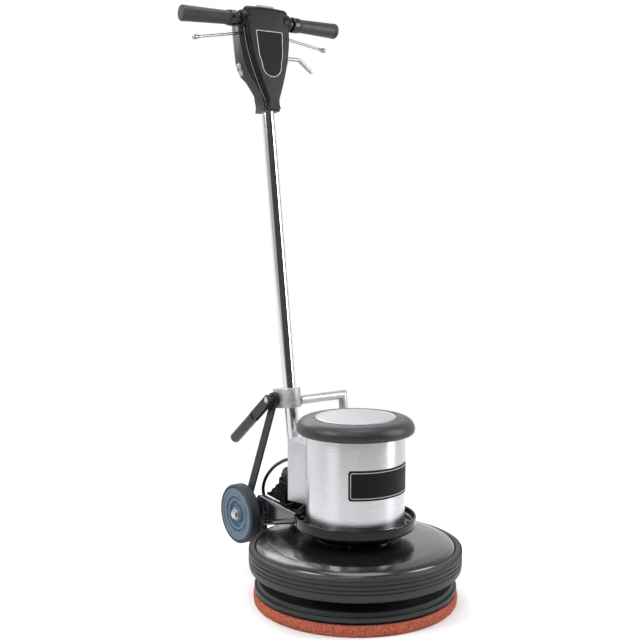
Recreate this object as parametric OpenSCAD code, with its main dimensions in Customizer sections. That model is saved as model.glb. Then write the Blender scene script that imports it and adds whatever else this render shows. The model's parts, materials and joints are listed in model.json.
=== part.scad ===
// Walk-behind rotary floor machine with one scrubbing disc.
// The origin is on the floor at the disc's centre; +X is the right side seen from the front,
// +Y is the back, where the wheels and the handle are, and +Z is up.

/* [Scrubbing disc] */
// Diameter of the scrubbing pad
pad_d = 432; // [420:1:436]
// Thickness of the scrubbing pad
pad_h = 24; // [20:1:24]
// Length of the bristles that grip the pad
bristle_h = 5; // [3:1:5]
// Thickness of the driver block
driver_h = 18; // [15:1:18]

/* [Deck] */
// Diameter of the deck's skirt
deck_d = 424; // [416:1:430]
// Height of the deck's rim above the floor
deck_rim_z = 124; // [118:1:126]
// Height of the deck's middle above the floor
deck_mid_z = 137; // [136:0.5:138]
// How far the bumper stands out from the skirt
bumper_w = 14; // [10:1:18]
// Number of grooves round the bumper
bumper_grooves = 4; // [2:1:5]

/* [Gear train] */
// Module of the teeth
gear_m = 1.4; // [1.3:0.05:1.4]
// Teeth on the sun gear
sun_teeth = 9; // [9, 12]
// Teeth on each planet gear
planet_teeth = 36; // [36]
// Width of the teeth
gear_w = 18; // [12:1:18]

/* [Motor] */
// Diameter of the motor shell
shell_d = 208.8; // [204:0.4:212]
// Height of the top of the shell above the floor
shell_top = 361; // [355:1:370]
// Diameter of the tray round the shell's foot
tray_d = 257.2; // [250:0.4:262]
// Height of the tray's rim above the floor
tray_top = 184; // [180:1:190]
// Greatest diameter of the cap
cap_d = 249; // [240:1:256]
// Height of the cap
cap_h = 31; // [28:1:36]
// Diameter of the disc let into the cap
cap_disc_d = 170; // [150:1:176]
// Height of the label on the shell
label_h = 62; // [40:1:70]

/* [Capacitor box] */
// Width of the box across its front corners
box_w = 171; // [150:1:174]
// Height of the box
box_h = 131; // [120:1:140]
// Height of the foot of the box above the floor
box_z = 199; // [190:1:202]

/* [Yoke and wheels] */
// Distance of the axle behind the disc's centre
axle_y = 286; // [284:1:290]
// Height of the axle above the floor
axle_z = 137; // [132:1:142]
// Diameter of the wheels
wheel_d = 134; // [120:1:136]
// Width of the wheels
wheel_w = 27; // [22:1:27]
// Distance from the middle to the outer face of a wheel
wheel_x = 120.5; // [119:0.5:123]

/* [Handle] */
// Diameter of the handle tube
tube_d = 30; // [28:0.5:30]
// Lean of the upright handle, in degrees from the vertical
lean = 7.68; // [7:0.1:9]
// Distance of the handle's pivot behind the disc's centre
pivot_y = 208.2; // [206:0.1:210]
// Height of the handle's pivot above the floor
pivot_z = 160; // [158:1:162]
// Distance from the pivot to the handlebar, along the tube
bar_h = 1098; // [1090:1:1110]
// Overall length of the handlebar with its grips
bar_w = 418; // [400:1:440]
// Distance from the pivot to the middle of the clamp
clamp_h = 241; // [238:1:245]
// Length of the cam lever
lever_len = 190; // [160:1:200]

/* [Control head] */
// Half the width of the head where it is widest
head_w = 60; // [57:0.5:62]
// Depth of the front housing
front_d = 34; // [32:1:36]
// Depth of the rear housing
rear_d = 54; // [52:1:56]
// Distance from the pivot to the foot of the head's neck
neck_h = 896; // [892:1:900]

/* [Hidden] */
$fn = 96;

run = 0.05;      // radial clearance of a running fit
seat = 0.04;     // radial clearance of a fixed fit
e = 0.1;         // overshoot of a cut

black = [0.07, 0.07, 0.075];
charcoal = [0.22, 0.22, 0.23];
steel = [0.75, 0.75, 0.77];
silver = [0.62, 0.63, 0.65];

// Scrubbing disc
pad_r = pad_d/2;
driver_z = pad_h + bristle_h;
driver_top = driver_z + driver_h;
plate_h = 9;
hub_r = 36;
lug_r = 46;
out_r = 15;              // output shaft in its bearing
out_key_r = 12.5;        // output shaft in the drive hub

// Gear train
ring_teeth = sun_teeth + 2*planet_teeth;
planet_c = gear_m*(sun_teeth + planet_teeth)/2;
pin_r = 5;
gear_z = 117;            // underside of the gears
carrier_z = 110;
carrier_h = 5;
ring_r = 62.5;
out_bearing = [15, 31, 92, 16];       // inner radius, outer radius, foot, height
low_bearing = [12.5, 26, 150, 15];
top_bearing = [8.5, 20, 318, 12];

// Deck and gearcase
skirt_r = deck_d/2;
skirt_z = 74;
deck_t = 3;
neck_r = 70;
flange_r = 92;
deck_bolt_r = 83;
deck_bolts = 6;
deck_bolt_a = 45;
tray_z = 158;
floor_z = 170;
tray_bolts = 4;
tray_r = tray_d/2;
tray_bolt_r = 114.5;
shell_r = shell_d/2;
shell_t = 1.8;

// Capacitor box
box_t = 1.5;
box_back = 146;
box_root = [60, 80];
box_corner = [box_w/2, 127];
flange_t = 1.6;
flange_a0 = 125;
flange_a1 = 138;
box_screw_a = 133;

// Yoke
arm_x = 101;
arm_y = 79;
axle_x = 77;             // middle of an arm at the axle
toe = atan((arm_x - axle_x)/(axle_y - arm_y));
arm_t = 7;
arm_top = 188;
cross_r = 12;
axle_r = 8;
wheel_in = wheel_x - wheel_w;
strut_x = 90;            // strut at the axle
strut_t = 5;
rim_r = wheel_d/2 - 8;

// Handle
tube_r = tube_d/2;
tube_in = tube_r - 1.8;
boss_r = 20;
bolt_y = 22;             // clamp bolt behind the tube's axis
bolt_r = 5;
collar_r = 24.5;
clamp_w = 24;
clamp_t = 44;
eye_x = 33;              // strut at the clamp
open_gap = 3.4;          // room round the bolt in the strut's upper eye
lever_a = 30;            // cam lever below the horizontal, in the handle's frame
bar_y = -12;
bar_r = 12.5;
bend_x = 66;             // where each end of the bar sweeps back
sweep = 3.6;
grip_in = 95;
hook_h0 = -8;            // cord hook below the middle of the clamp
hook_drop = 60;
hook_x = 148.5;

// Head, measured along the tube from the pivot
head_top = bar_h + 28;
ear_r = 21;
neck_w = 20;
shoulder_h = neck_h + 25;
wide_h = bar_h - 13;
wall = 3;
lever_h = bar_h - 25;
lever_y = 2;
pin_y = 52;             // far end of the lever pins, in the rear wall
tube_end = bar_h - 42;
hook_y = 10;
lever_x = 40;
lever_pin_r = 3;
lever_tip = [175, bar_h - 48];
hook_h = bar_h - 74;
gland_h = bar_h - 102;
gland_y = 36;
button_w = 47;
button_y = -17;

// Route of the motor's lead from the capacitor box to the yoke, as points of Y and Z
lead_x = -55;
lead_r = 3.75;
lead_route = [
    [150, 278], [166, 277.4], [184, 272], [202, 263], [220, 253], [236, 241], [251, 227],
    [263, 212], [270, 197], [271, 183], [266, 171], [256, 162], [243, 158], [233, 158]
];

// Points along an arc about (cx, cy)
function arc(cx, cy, r, a0, a1, n = 8) =
    [for (i = [0:n]) let (a = a0 + (a1 - a0)*i/n) [cx + r*cos(a), cy + r*sin(a)]];

// A rectangle from (x0, y0) to (x1, y1) with round corners
function round_box(x0, y0, x1, y1, r, n = 6) = concat(
    arc(x1 - r, y0 + r, r, -90, 0, n), arc(x1 - r, y1 - r, r, 0, 90, n),
    arc(x0 + r, y1 - r, r, 90, 180, n), arc(x0 + r, y0 + r, r, 180, 270, n));

// Outline of n straight-sided teeth; the shares are of the pitch that a tooth fills
function teeth(n, r_root, r_tip, root_share, tip_share) = [
    for (i = [0:n - 1], q = [[-root_share, r_root], [-tip_share, r_tip],
                             [tip_share, r_tip], [root_share, r_root]])
        let (a = (i + q[0]/2)*360/n) [q[1]*cos(a), q[1]*sin(a)]];

// Half the width of the head at height h along the tube
function head_half(h) =
    h < shoulder_h ? neck_w
    : h < wide_h ? neck_w + (head_w - neck_w)*sin(90*(h - shoulder_h)/(wide_h - shoulder_h))
    : head_w - 2*pow((h - wide_h)/(head_top - wide_h), 2);

// Outline of the head drawn in by a margin, from the neck to the top
function head_side(m) = concat(
    [[neck_w - m, neck_h + m], [neck_w - m, shoulder_h]],
    [for (i = [1:10]) let (h = shoulder_h + (wide_h - shoulder_h)*i/10) [head_half(h) - m, h]],
    arc(head_half(head_top) - 11 - m/2, head_top - 11 - m/2, 11 - m/2, 0, 90, 6));
function head_outline(m) = concat(head_side(m),
    [for (i = [len(head_side(m)) - 1:-1:0]) [-head_side(m)[i][0], head_side(m)[i][1]]]);

module ring(r0, r1, z, h) {
    translate([0, 0, z]) difference() {
        cylinder(r = r1, h = h);
        translate([0, 0, -e]) cylinder(r = r0, h = h + 2*e);
    }
}

// Copies its child on each side of the middle
module both_sides() {
    children();
    mirror([1, 0, 0]) children();
}

// Places its child n times round a circle
module round_circle(n, r, z = 0, start = 0) {
    for (i = [0:n - 1]) rotate([0, 0, start + i*360/n]) translate([r, 0, z]) children();
}

// A bar along X, from x0 to x1
module x_bar(r, x0, x1) {
    translate([x0, 0, 0]) rotate([0, 90, 0]) cylinder(r = r, h = x1 - x0);
}

// Extrudes a shape of (Y, Z) points along X, from x0 to x1
module x_plate(x0, x1) {
    translate([x0, 0, 0]) rotate([90, 0, 90]) linear_extrude(x1 - x0) children();
}

// Extrudes a shape of (X, height) points along Y, from y0 to y1
module y_plate(y0, y1) {
    translate([0, y1, 0]) rotate([90, 0, 0]) linear_extrude(y1 - y0) children();
}

// The handle's own frame: its origin is the pivot and its Z runs up the tube
module handle_frame(h = 0) {
    translate([0, pivot_y, pivot_z]) rotate([-lean, 0, 0]) translate([0, 0, h]) children();
}

module pan_screw(r, head_h, length) {
    cylinder(r = r, h = head_h);
    translate([0, 0, -length]) cylinder(r = r/2, h = length + e);
}

// ---- Scrubbing disc and its drive ----

module scrub_pad() {
    color([0.79, 0.36, 0.26]) rotate_extrude($fn = 180) polygon(concat(
        [[0, 0]], arc(pad_r - 6, 6, 6, -90, 0, 5),
        arc(pad_r - 2, pad_h - 2, 2, 0, 90, 3), [[0, pad_h]]));
}

module grip_face() {
    color(black) ring(30, pad_r - 3, pad_h, bristle_h);
}

module pad_driver() {
    step = driver_h/2;
    color([0.17, 0.2, 0.19]) union() {
        ring(30, pad_r - 2, driver_z, step);
        ring(30, pad_r - 9, driver_z + step - e, step + e);
    }
}

module clutch_plate() {
    color(charcoal) difference() {
        translate([0, 0, driver_top]) cylinder(r = 90, h = plate_h);
        translate([0, 0, driver_top - e]) cylinder(r = hub_r + 0.1, h = plate_h + 2*e);
        round_circle(3, (hub_r + lug_r)/2, driver_top + plate_h/2)
            cube([lug_r - hub_r + 4, 24.4, plate_h + 2*e], center = true);
        round_circle(6, 75, driver_top - e, 30) cylinder(r = 4, h = plate_h + 2*e, $fn = 32);
    }
}

module drive_hub() {
    color(silver) difference() {
        union() {
            translate([0, 0, driver_top]) cylinder(r = hub_r, h = plate_h);
            translate([0, 0, driver_top + plate_h]) cylinder(r = 22, h = 12);
            round_circle(3, (hub_r + lug_r)/2 - 2, driver_top + plate_h/2)
                cube([lug_r - hub_r + 4, 24, plate_h], center = true);
        }
        translate([0, 0, driver_top - e]) cylinder(r = out_key_r + seat, h = 40);
    }
}

module output_carrier() {
    color(steel) union() {
        translate([0, 0, driver_top + 1]) cylinder(r = out_key_r, h = 24);
        translate([0, 0, driver_top + plate_h + 12]) cylinder(r = out_r, h = carrier_z - driver_top - plate_h - 11);
        translate([0, 0, carrier_z]) cylinder(r = planet_c + 14, h = carrier_h);
        round_circle(3, planet_c, carrier_z + carrier_h - e)
            cylinder(r = pin_r, h = gear_w + 5, $fn = 48);
    }
}

// A planet gear on the carrier's pin at angle a
module planet_gear(a) {
    p_r = gear_m*planet_teeth/2;
    color([0.85, 0.8, 0.62]) rotate([0, 0, a]) translate([planet_c, 0, gear_z]) rotate([0, 0, -a])
        linear_extrude(gear_w) difference() {
            rotate(180/planet_teeth) polygon(
                teeth(planet_teeth, p_r - 1.15*gear_m, p_r + 0.8*gear_m, 0.62, 0.22));
            circle(r = pin_r + run, $fn = 48);
        }
}

module sun_gear() {
    s_r = gear_m*sun_teeth/2;
    color(steel) union() {
        translate([0, 0, gear_z]) linear_extrude(gear_w + 2)
            polygon(teeth(sun_teeth, s_r - 1.2*gear_m, s_r + 0.8*gear_m, 0.5, 0.2));
        translate([0, 0, gear_z + gear_w + 2]) cylinder(r = 10, h = 146 - gear_z - gear_w - 2);
    }
}

module ring_gear() {
    r_r = gear_m*ring_teeth/2;
    color(silver) translate([0, 0, gear_z - 1]) linear_extrude(gear_w + 2) difference() {
        circle(r = ring_r, $fn = 180);
        rotate(180/ring_teeth)
            polygon(teeth(ring_teeth, r_r - 0.8*gear_m, r_r + 1.15*gear_m, 0.8, 0.42));
    }
}

module rotor_shaft() {
    color(steel) rotate_extrude() polygon([
        [0, 146], [low_bearing[0], 146], [low_bearing[0], floor_z + 2], [16, floor_z + 2],
        [16, 300], [10, 300], [10, 318], [top_bearing[0], 318], [top_bearing[0], 350], [0, 350]]);
}

module rotor_core() {
    color([0.45, 0.46, 0.48]) union() {
        ring(16 + seat, 51.4, 206, 78);
        ring(30, 46, 198, 8 + e);
        ring(30, 46, 284 - e, 8 + e);
    }
}

module cooling_fan() {
    blade = [50, 2.5, 14];
    color(charcoal) difference() {
        union() {
            translate([0, 0, 336]) cylinder(r = 26, h = 14);
            translate([0, 0, 336]) cylinder(r = 82, h = 2);
            round_circle(8, 52, 336 + blade[2]/2 + 1) cube(blade, center = true);
        }
        translate([0, 0, 330]) cylinder(r = top_bearing[0] + seat, h = 30);
    }
}

// ---- Gearcase, deck and motor ----

// A sealed ball bearing; b is its inner radius, outer radius, foot and height
module bearing(b, clear) {
    mid = (b[0] + b[1])/2;
    difference() {
        ring(b[0] + clear, b[1], b[2], b[3]);
        for (z = [b[2] - e, b[2] + b[3] - 0.8]) ring(mid - 3, mid + 3, z, 0.8 + e);
    }
}

module bearings() {
    color(steel) {
        bearing(out_bearing, run);
        bearing(low_bearing, run);
        bearing(top_bearing, run);
    }
}

module gearcase() {
    b = out_bearing;
    color(black) difference() {
        rotate_extrude($fn = 180) polygon(concat(
            [[45, 88], [45, 104], [66, 112], [66, 121], [flange_r, 121],
             [flange_r, deck_mid_z - 6.1], [neck_r, deck_mid_z - 6.1], [neck_r, deck_mid_z + 2]],
            [[neck_r + 1.5, 143], [neck_r + 5, 147], [neck_r + 14, 150], [104, 151.5], [104, tray_z]],
            [[58, tray_z], [58, gear_z + gear_w + 2], [ring_r + seat, gear_z + gear_w + 2],
             [ring_r + seat, gear_z - 1], [50, gear_z - 1], [50, b[2] + b[3]],
             [b[1] + seat, b[2] + b[3]], [b[1] + seat, b[2]], [18, b[2]], [18, 88]]));
        round_circle(deck_bolts, deck_bolt_r, 120, deck_bolt_a) cylinder(r = 3.2, h = 14, $fn = 32);
    }
}

module deck() {
    color([0.1, 0.1, 0.105]) difference() {
        rotate_extrude($fn = 180) polygon(concat(
            [[77, deck_mid_z - 6], [77, deck_mid_z], [flange_r + 2, deck_mid_z]],
            arc(skirt_r - 8, deck_rim_z - 5, 8, 80, 0, 6),
            [[skirt_r, skirt_z], [skirt_r - deck_t, skirt_z]],
            arc(skirt_r - 8, deck_rim_z - 5, 8 - deck_t, 0, 80, 6),
            [[flange_r + 2, deck_mid_z - 6]]));
        round_circle(deck_bolts, deck_bolt_r, 120, deck_bolt_a) cylinder(r = 3.2, h = 30, $fn = 32);
    }
}

module bumper() {
    top = deck_rim_z + 3;
    foot = 71;
    r1 = skirt_r + bumper_w;
    color([0.24, 0.24, 0.25]) rotate_extrude($fn = 180) difference() {
        polygon([[skirt_r + seat, foot + 2], [r1 - 6, foot], [r1 - 2, foot + 4], [r1, foot + 12],
                 [r1, top - 14], [r1 - 2, top - 7], [r1 - 7, top - 1], [skirt_r + seat, top]]);
        for (i = [0:bumper_grooves - 1]) translate([r1 - 2.5, foot + 20 + 28*i/(bumper_grooves - 1)])
            square([6, 2.6], center = false);
    }
}

module base_screws() {
    color(steel) {
        round_circle(deck_bolts, deck_bolt_r, deck_mid_z, deck_bolt_a) pan_screw(6, 4.5, 14, $fn = 32);
        round_circle(tray_bolts, tray_bolt_r, floor_z, 45) pan_screw(6, 4.5, 11, $fn = 32);
        both_sides() for (z = [box_z + 26, box_z + box_h - 26]) rotate([0, 0, box_screw_a])
            translate([shell_r + flange_t, 0, z]) rotate([0, 90, 0])
                cylinder(r = 3.6, h = 2.2, $fn = 32);
    }
}

module motor_tray() {
    b = low_bearing;
    color(black) difference() {
        rotate_extrude($fn = 180) polygon([
            [16, 146], [36, 146], [36, tray_z], [104.5, tray_z], [tray_r - 14, tray_z + 1],
            [tray_r - 1, tray_z + 3], [tray_r, tray_z + 4], [tray_r, tray_top - 1.5],
            [tray_r - 1.5, tray_top], [tray_r - 3, tray_top], [tray_r - 4.5, tray_top - 1.5],
            [tray_r - 5, floor_z], [b[1] + seat, floor_z], [b[1] + seat, b[2]], [16, b[2]]]);
        round_circle(tray_bolts, tray_bolt_r, tray_z - 5, 45) cylinder(r = 3.2, h = 30, $fn = 32);
    }
}

module motor_shell() {
    color([0.72, 0.73, 0.76]) ring(shell_r - shell_t, shell_r, floor_z, shell_top - floor_z, $fn = 180);
}

module stator_core() {
    color([0.4, 0.41, 0.43]) difference() {
        ring(52, shell_r - shell_t - seat, 206, 78);
        round_circle(24, 60, 200) cylinder(r = 4, h = 100, $fn = 24);
    }
}

module windings() {
    color([0.72, 0.42, 0.2]) for (z = [188, 284]) ring(58, 92, z, 18);
}

module end_bell() {
    b = top_bearing;
    color(silver) difference() {
        rotate_extrude() polygon([
            [12, b[2] - 5], [26, b[2] - 6], [34, 306], [98, 306], [98, 302],
            [shell_r - shell_t - seat, 302], [shell_r - shell_t - seat, 311], [38, 311],
            [28, b[2]], [28, 333], [b[1] + seat, 333], [b[1] + seat, b[2]], [12, b[2]]]);
        round_circle(8, 68, 300) cylinder(r = 12, h = 20, $fn = 32);
    }
}

module motor_cap() {
    r = cap_d/2;
    top = shell_top + cap_h;
    color([0.33, 0.33, 0.345]) rotate_extrude($fn = 180) polygon(concat(
        [[0, top - 0.5], [cap_disc_d/2 + 1, top - 0.5], [cap_disc_d/2 + 2, top + 0.5]],
        [for (i = [0:8]) let (a = 84 - i*84/8) [r - 22 + 22*cos(a), shell_top + 11 + (cap_h - 11)*sin(a)]],
        [for (i = [1:4]) let (a = -i*60/4) [r - 8 + 8*cos(a), shell_top + 11 + 12.7*sin(a)]],
        [[98, shell_top], [98, top - 8], [0, top - 6]]));
}

module cap_disc() {
    top = shell_top + cap_h;
    color([0.82, 0.82, 0.84]) rotate_extrude($fn = 180)
        polygon([[0, top - 0.5], [cap_disc_d/2, top - 0.5], [cap_disc_d/2 - 0.6, top + 1.4], [0, top + 1.8]]);
}

module motor_label() {
    sweep = 92;
    color(black) rotate([0, 0, -90 - sweep/2]) rotate_extrude(angle = sweep)
        translate([shell_r + 0.05, 271 - label_h/2]) square([1.2, label_h]);
}

// ---- Capacitor box and lead ----

// Plan of the box, drawn in by t
module box_plan(t = 0) {
    c = box_corner;
    polygon([[-box_root[0] + t, 60], [-c[0] + t*1.2, c[1]], [-c[0] + 8 + t, c[1] + 12 - t],
             [-c[0] + 20 + t, box_back - t], [c[0] - 20 - t, box_back - t],
             [c[0] - 8 - t, c[1] + 12 - t], [c[0] - t*1.2, c[1]], [box_root[0] - t, 60]]);
}

module capacitor_box() {
    color([0.68, 0.68, 0.7]) difference() {
        union() {
            translate([0, 0, box_z]) linear_extrude(box_h) box_plan();
            both_sides() rotate([0, 0, flange_a0]) translate([0, 0, box_z + 2])
                rotate_extrude(angle = flange_a1 - flange_a0)
                    translate([shell_r - 1, 0]) square([flange_t + 1, box_h - 4]);
        }
        translate([0, 0, box_z + box_t]) linear_extrude(box_h - 2*box_t) box_plan(box_t);
        translate([0, 0, box_z - e]) cylinder(r = shell_r + seat, h = box_h + 2*e, $fn = 180);
        translate([lead_x, box_back, lead_route[0][1]]) rotate([90, 0, 0])
            cylinder(r = 6, h = 20, center = true, $fn = 32);
    }
}

module capacitors() {
    color([0.16, 0.2, 0.34]) both_sides() translate([28, 123, box_z + box_t])
        cylinder(r = 20, h = 105, $fn = 64);
}

// A round tube swept along a route of (Y, Z) points at one X
module motor_lead() {
    n = 10;
    last = len(lead_route) - 1;
    function along(i) = let (d = lead_route[min(i + 1, last)] - lead_route[max(i - 1, 0)]) d/norm(d);
    function corner(i, j) = let (t = along(i), a = 360*j/n)
        [lead_x + lead_r*cos(a), lead_route[i][0] - lead_r*sin(a)*t[1], lead_route[i][1] + lead_r*sin(a)*t[0]];
    color(black) polyhedron(
        points = [for (i = [0:last], j = [0:n - 1]) corner(i, j)],
        faces = concat(
            [[for (j = [0:n - 1]) j]],
            [for (i = [0:last - 1], j = [0:n - 1]) let (a = i*n, b = a + n, k = (j + 1) % n)
                [a + j, b + j, b + k, a + k]],
            [[for (j = [n - 1:-1:0]) last*n + j]]));
}

module lead_gland() {
    first = lead_route[0];
    last = lead_route[len(lead_route) - 1];
    color(black) {
        translate([lead_x, box_back, first[1]]) rotate([-90, 0, 0]) difference() {
            union() {
                cylinder(r = 9, h = 4, $fn = 6);
                translate([0, 0, -6]) cylinder(r = 5.9, h = 8, $fn = 32);
                translate([0, 0, 4 - e]) cylinder(r1 = 7.5, r2 = 5.5, h = 10, $fn = 32);
            }
            translate([0, 0, -8]) cylinder(r = lead_r + 0.7, h = 30, $fn = 32);
        }
        difference() {
            translate([lead_x, pivot_y + cross_r - 3, last[1]]) rotate([-90, 0, 0])
                cylinder(r = 7.5, h = last[0] - pivot_y - cross_r + 10, $fn = 32);
            translate([lead_x, last[0] - 1, last[1]]) rotate([-90, 0, 0])
                cylinder(r = lead_r + 0.7, h = 20, $fn = 32);
            translate([0, pivot_y, pivot_z]) x_bar(cross_r + seat, -90, 0);
        }
    }
}

// A plug in its socket, on a saddle that stands on the cross tube
module lead_connector() {
    x0 = -46;
    x1 = -25;
    color(black) difference() {
        union() {
            x_plate(x0, x1) polygon([
                [196, pivot_z], [196, 192], [190, 198], [187, 226], [186, 250], [192, 254],
                [201, 250], [207, 243], [212, 229], [220, 224], [222, 210], [232, 206],
                [238, 198], [248, 193], [254, 184], [270, 180], [272, 173], [226, 170],
                [220, pivot_z]]);
            translate([(x0 + x1)/2, 222, 190]) cube([x1 - x0 + 3, 30, 6], center = true);
            translate([(x0 + x1)/2, 202, 216]) cube([x1 - x0 + 3, 26, 5], center = true);
        }
        translate([0, pivot_y, pivot_z]) x_bar(cross_r + seat, -90, 0);
    }
}

// ---- Yoke, axle and wheels ----

// The left arm's own frame: Y runs along the arm, from the tray towards the axle
module arm_frame() {
    translate([-arm_x, arm_y, 0]) rotate([0, 0, -toe]) translate([0, -arm_y, 0]) children();
}

module arm() {
    difference() {
        union() {
            arm_frame() {
                x_plate(-arm_t/2, arm_t/2) polygon(concat(
                    [[50, 164], [88, 161], [207, 130], [214, 124], [216, 94]], arc(228, 94, 12, 180, 270, 5),
                    [[244, 82], [262, 100], [284, 120], [300, 130], [300, 146]],
                    arc(240, 160, 26, 0, 78, 6), [[222, arm_top], [50, arm_top]]));
                translate([0, 50, 0]) rotate([-90, 0, 0]) linear_extrude(178)
                    polygon(round_box(-9, -arm_top, 9, 9 - arm_top, 3.5, 4));
                translate([-4, 62, 172]) rotate([-90 - 15.5, 0, 0]) cylinder(r = 6.5, h = 144, $fn = 32);
            }
            translate([0, axle_y, axle_z]) x_bar(17, -82, -68);
            translate([0, pivot_y, pivot_z]) x_bar(18, -91, -79);
        }
        translate([0, 0, 100]) cylinder(r = tray_r + seat, h = 100, $fn = 180);
        translate([0, axle_y, axle_z]) x_bar(axle_r + seat, -140, 0);
        translate([0, pivot_y, pivot_z]) x_bar(cross_r + seat, -140, 0);
        translate([-50, axle_y + 60, 80]) cube([200, 100, 200], center = true);
    }
}

module left_arm() {
    color(black) arm();
}

module right_arm() {
    color(black) mirror([1, 0, 0]) arm();
}

module cross_tube() {
    color(charcoal) translate([0, pivot_y, pivot_z]) difference() {
        x_bar(cross_r, -91, 91);
        x_bar(cross_r - 3, -92, 92);
    }
}

module axle() {
    color(steel) translate([0, axle_y, axle_z]) x_bar(axle_r, -wheel_x - 7, wheel_x + 7);
}

module axle_nuts() {
    strut_in = strut_x - strut_t/2;
    color([0.78, 0.66, 0.45]) translate([0, axle_y, axle_z]) difference() {
        union() {
            both_sides() {
                x_bar(12, wheel_x + 0.1, wheel_x + 1.6, $fn = 48);
                x_bar(10.5, wheel_x + 1.5, wheel_x + 7, $fn = 6);
                x_bar(9, wheel_x + 6.9, wheel_x + 8.4, $fn = 48);
            }
            x_bar(12, -wheel_in + 0.2, -strut_x - strut_t/2 - 0.2, $fn = 48);
            x_bar(12, -strut_x + strut_t/2 + 0.2, -82.1, $fn = 48);
            x_bar(12, 82.1, wheel_in - 0.2, $fn = 48);
        }
        x_bar(axle_r + seat, -wheel_x - 7.1, wheel_x + 7.1);
    }
}

// A wheel's core about the X axis, its outer face at x = 0 and its inner face at -wheel_w
module wheel_core() {
    rotate([0, 90, 0]) rotate_extrude($fn = 120) polygon([
        [axle_r + run, -wheel_w + 1], [20, -wheel_w + 1], [22, -wheel_w + 6], [46, -wheel_w + 6],
        [48, -wheel_w + 1], [rim_r, -wheel_w + 1], [rim_r, 0], [rim_r - 6, 0], [rim_r - 8, -1.5],
        [42, -2], [40, -3.5], [30, -4], [28.5, -6], [18, -6], [16.5, -3], [15, 0],
        [axle_r + run, 0]]);
}

module wheel_tyre() {
    r = wheel_d/2;
    rotate([0, 90, 0]) rotate_extrude($fn = 120) polygon(concat(
        [[rim_r, -wheel_w]], arc(r - 5, -wheel_w + 5, 5, -90, 0, 5), arc(r - 5, -5, 5, 0, 90, 5),
        [[rim_r, 0]]));
}

module at_left_wheel() {
    translate([-wheel_x, axle_y, axle_z]) mirror([1, 0, 0]) children();
}

module at_right_wheel() {
    translate([wheel_x, axle_y, axle_z]) children();
}

module left_wheel() {
    color([0.41, 0.5, 0.57]) at_left_wheel() wheel_core();
}

module left_tyre() {
    color([0.3, 0.34, 0.37]) at_left_wheel() wheel_tyre();
}

module right_wheel() {
    color([0.41, 0.5, 0.57]) at_right_wheel() wheel_core();
}

module right_tyre() {
    color([0.3, 0.34, 0.37]) at_right_wheel() wheel_tyre();
}

// ---- Handle ----

module handle_socket() {
    color(black) handle_frame() difference() {
        union() {
            x_bar(boss_r, -20, 20);
            translate([0, 0, 10]) cylinder(r = tube_in - seat, h = 60);
        }
        x_bar(cross_r + run, -40, 40);
    }
}

module handle_tube() {
    color([0.8, 0.8, 0.82]) handle_frame() difference() {
        ring(tube_in, tube_r, 12, tube_end - 12);
        x_bar(boss_r + seat, -40, 40);
    }
}

// Places its child on each swept end of the handlebar
module swept() {
    both_sides() translate([bend_x, 0, 0]) rotate([0, 0, sweep]) translate([-bend_x, 0, 0])
        children();
}

module handlebar() {
    end = bar_w/2 - 4;
    color(black) handle_frame(bar_h) translate([0, bar_y, 0]) union() {
        x_bar(bar_r, -bend_x - 4, bend_x + 4);
        swept() {
            x_bar(17, bend_x + 1.6, grip_in - 3, $fn = 64);
            x_bar(bar_r, bend_x + 6, end);
        }
    }
}

// One grip about the X axis, from grip_in outwards
module grip() {
    out = bar_w/2;
    rotate([0, 90, 0]) rotate_extrude($fn = 64) polygon(concat(
        [[bar_r + seat, grip_in - 2.5]], arc(14.7, grip_in + 0.8, 3.3, -90, 0, 4),
        [[18, grip_in + 4], [15.6, grip_in + 7], [15.4, grip_in + 11], [17.3, out - 12],
         [16.8, out - 11], [16.8, out - 9], [17.8, out - 8]],
        arc(14.8, out - 3, 3, 0, 90, 4),
        [[0, out], [0, out - 4 + seat], [bar_r + seat, out - 4 + seat]]));
}

module handle_grips() {
    color([0.21, 0.21, 0.22]) handle_frame(bar_h) translate([0, bar_y, 0]) swept() grip();
}

// ---- Control head ----

// Holes through the head for the tube, the bar, the levers and the hook
module head_cuts() {
    translate([0, 0, neck_h - 10]) cylinder(r = tube_r + seat, h = tube_end + 12 - neck_h);
    translate([0, bar_y, bar_h]) x_bar(bar_r + seat, -80, 80);
    both_sides() translate([head_w + 20, lever_y, lever_h - 1]) cube([70, 10, 17], center = true);
    translate([0, hook_y, hook_h]) x_bar(5.5, 20, 70, $fn = 32);
    translate([0, button_y, head_top]) cube([button_w + 1, 14, 30], center = true);
}

// Side profile of the front housing, drawn in by t, as (Y, height) points
module front_profile(t = 0) {
    r = 16;
    polygon(concat([[1, neck_h + t - 1], [-front_d + t, neck_h + t - 1]],
        arc(-front_d + r, head_top - r, r - t, 180, 90, 6), [[1, head_top - t]]));
}

// The round shoulder where the handlebar leaves the head, on the right
module ear(x0) {
    translate([0, bar_y, bar_h]) x_bar(ear_r, x0, bend_x, $fn = 64);
}

module head_front() {
    color([0.15, 0.15, 0.16]) handle_frame() difference() {
        union() {
            intersection() {
                union() {
                    y_plate(-front_d + 6, 0) polygon(head_outline(0));
                    y_plate(-front_d + 2, -front_d + 7) polygon(head_outline(1.5));
                    y_plate(-front_d, -front_d + 3) polygon(head_outline(4));
                }
                x_plate(-70, 70) front_profile();
            }
            both_sides() {
                intersection() {
                    ear(44);
                    translate([0, -50, bar_h - 50]) cube([100, 50, 100]);
                }
                ear(head_w + 2);
            }
        }
        intersection() {
            y_plate(-front_d + 4, 1) intersection() {
                polygon(head_outline(wall));
                translate([-60, shoulder_h + 10]) square([120, head_top - shoulder_h - 14]);
            }
            x_plate(-70, 70) front_profile(wall);
        }
        head_cuts();
    }
}

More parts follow.
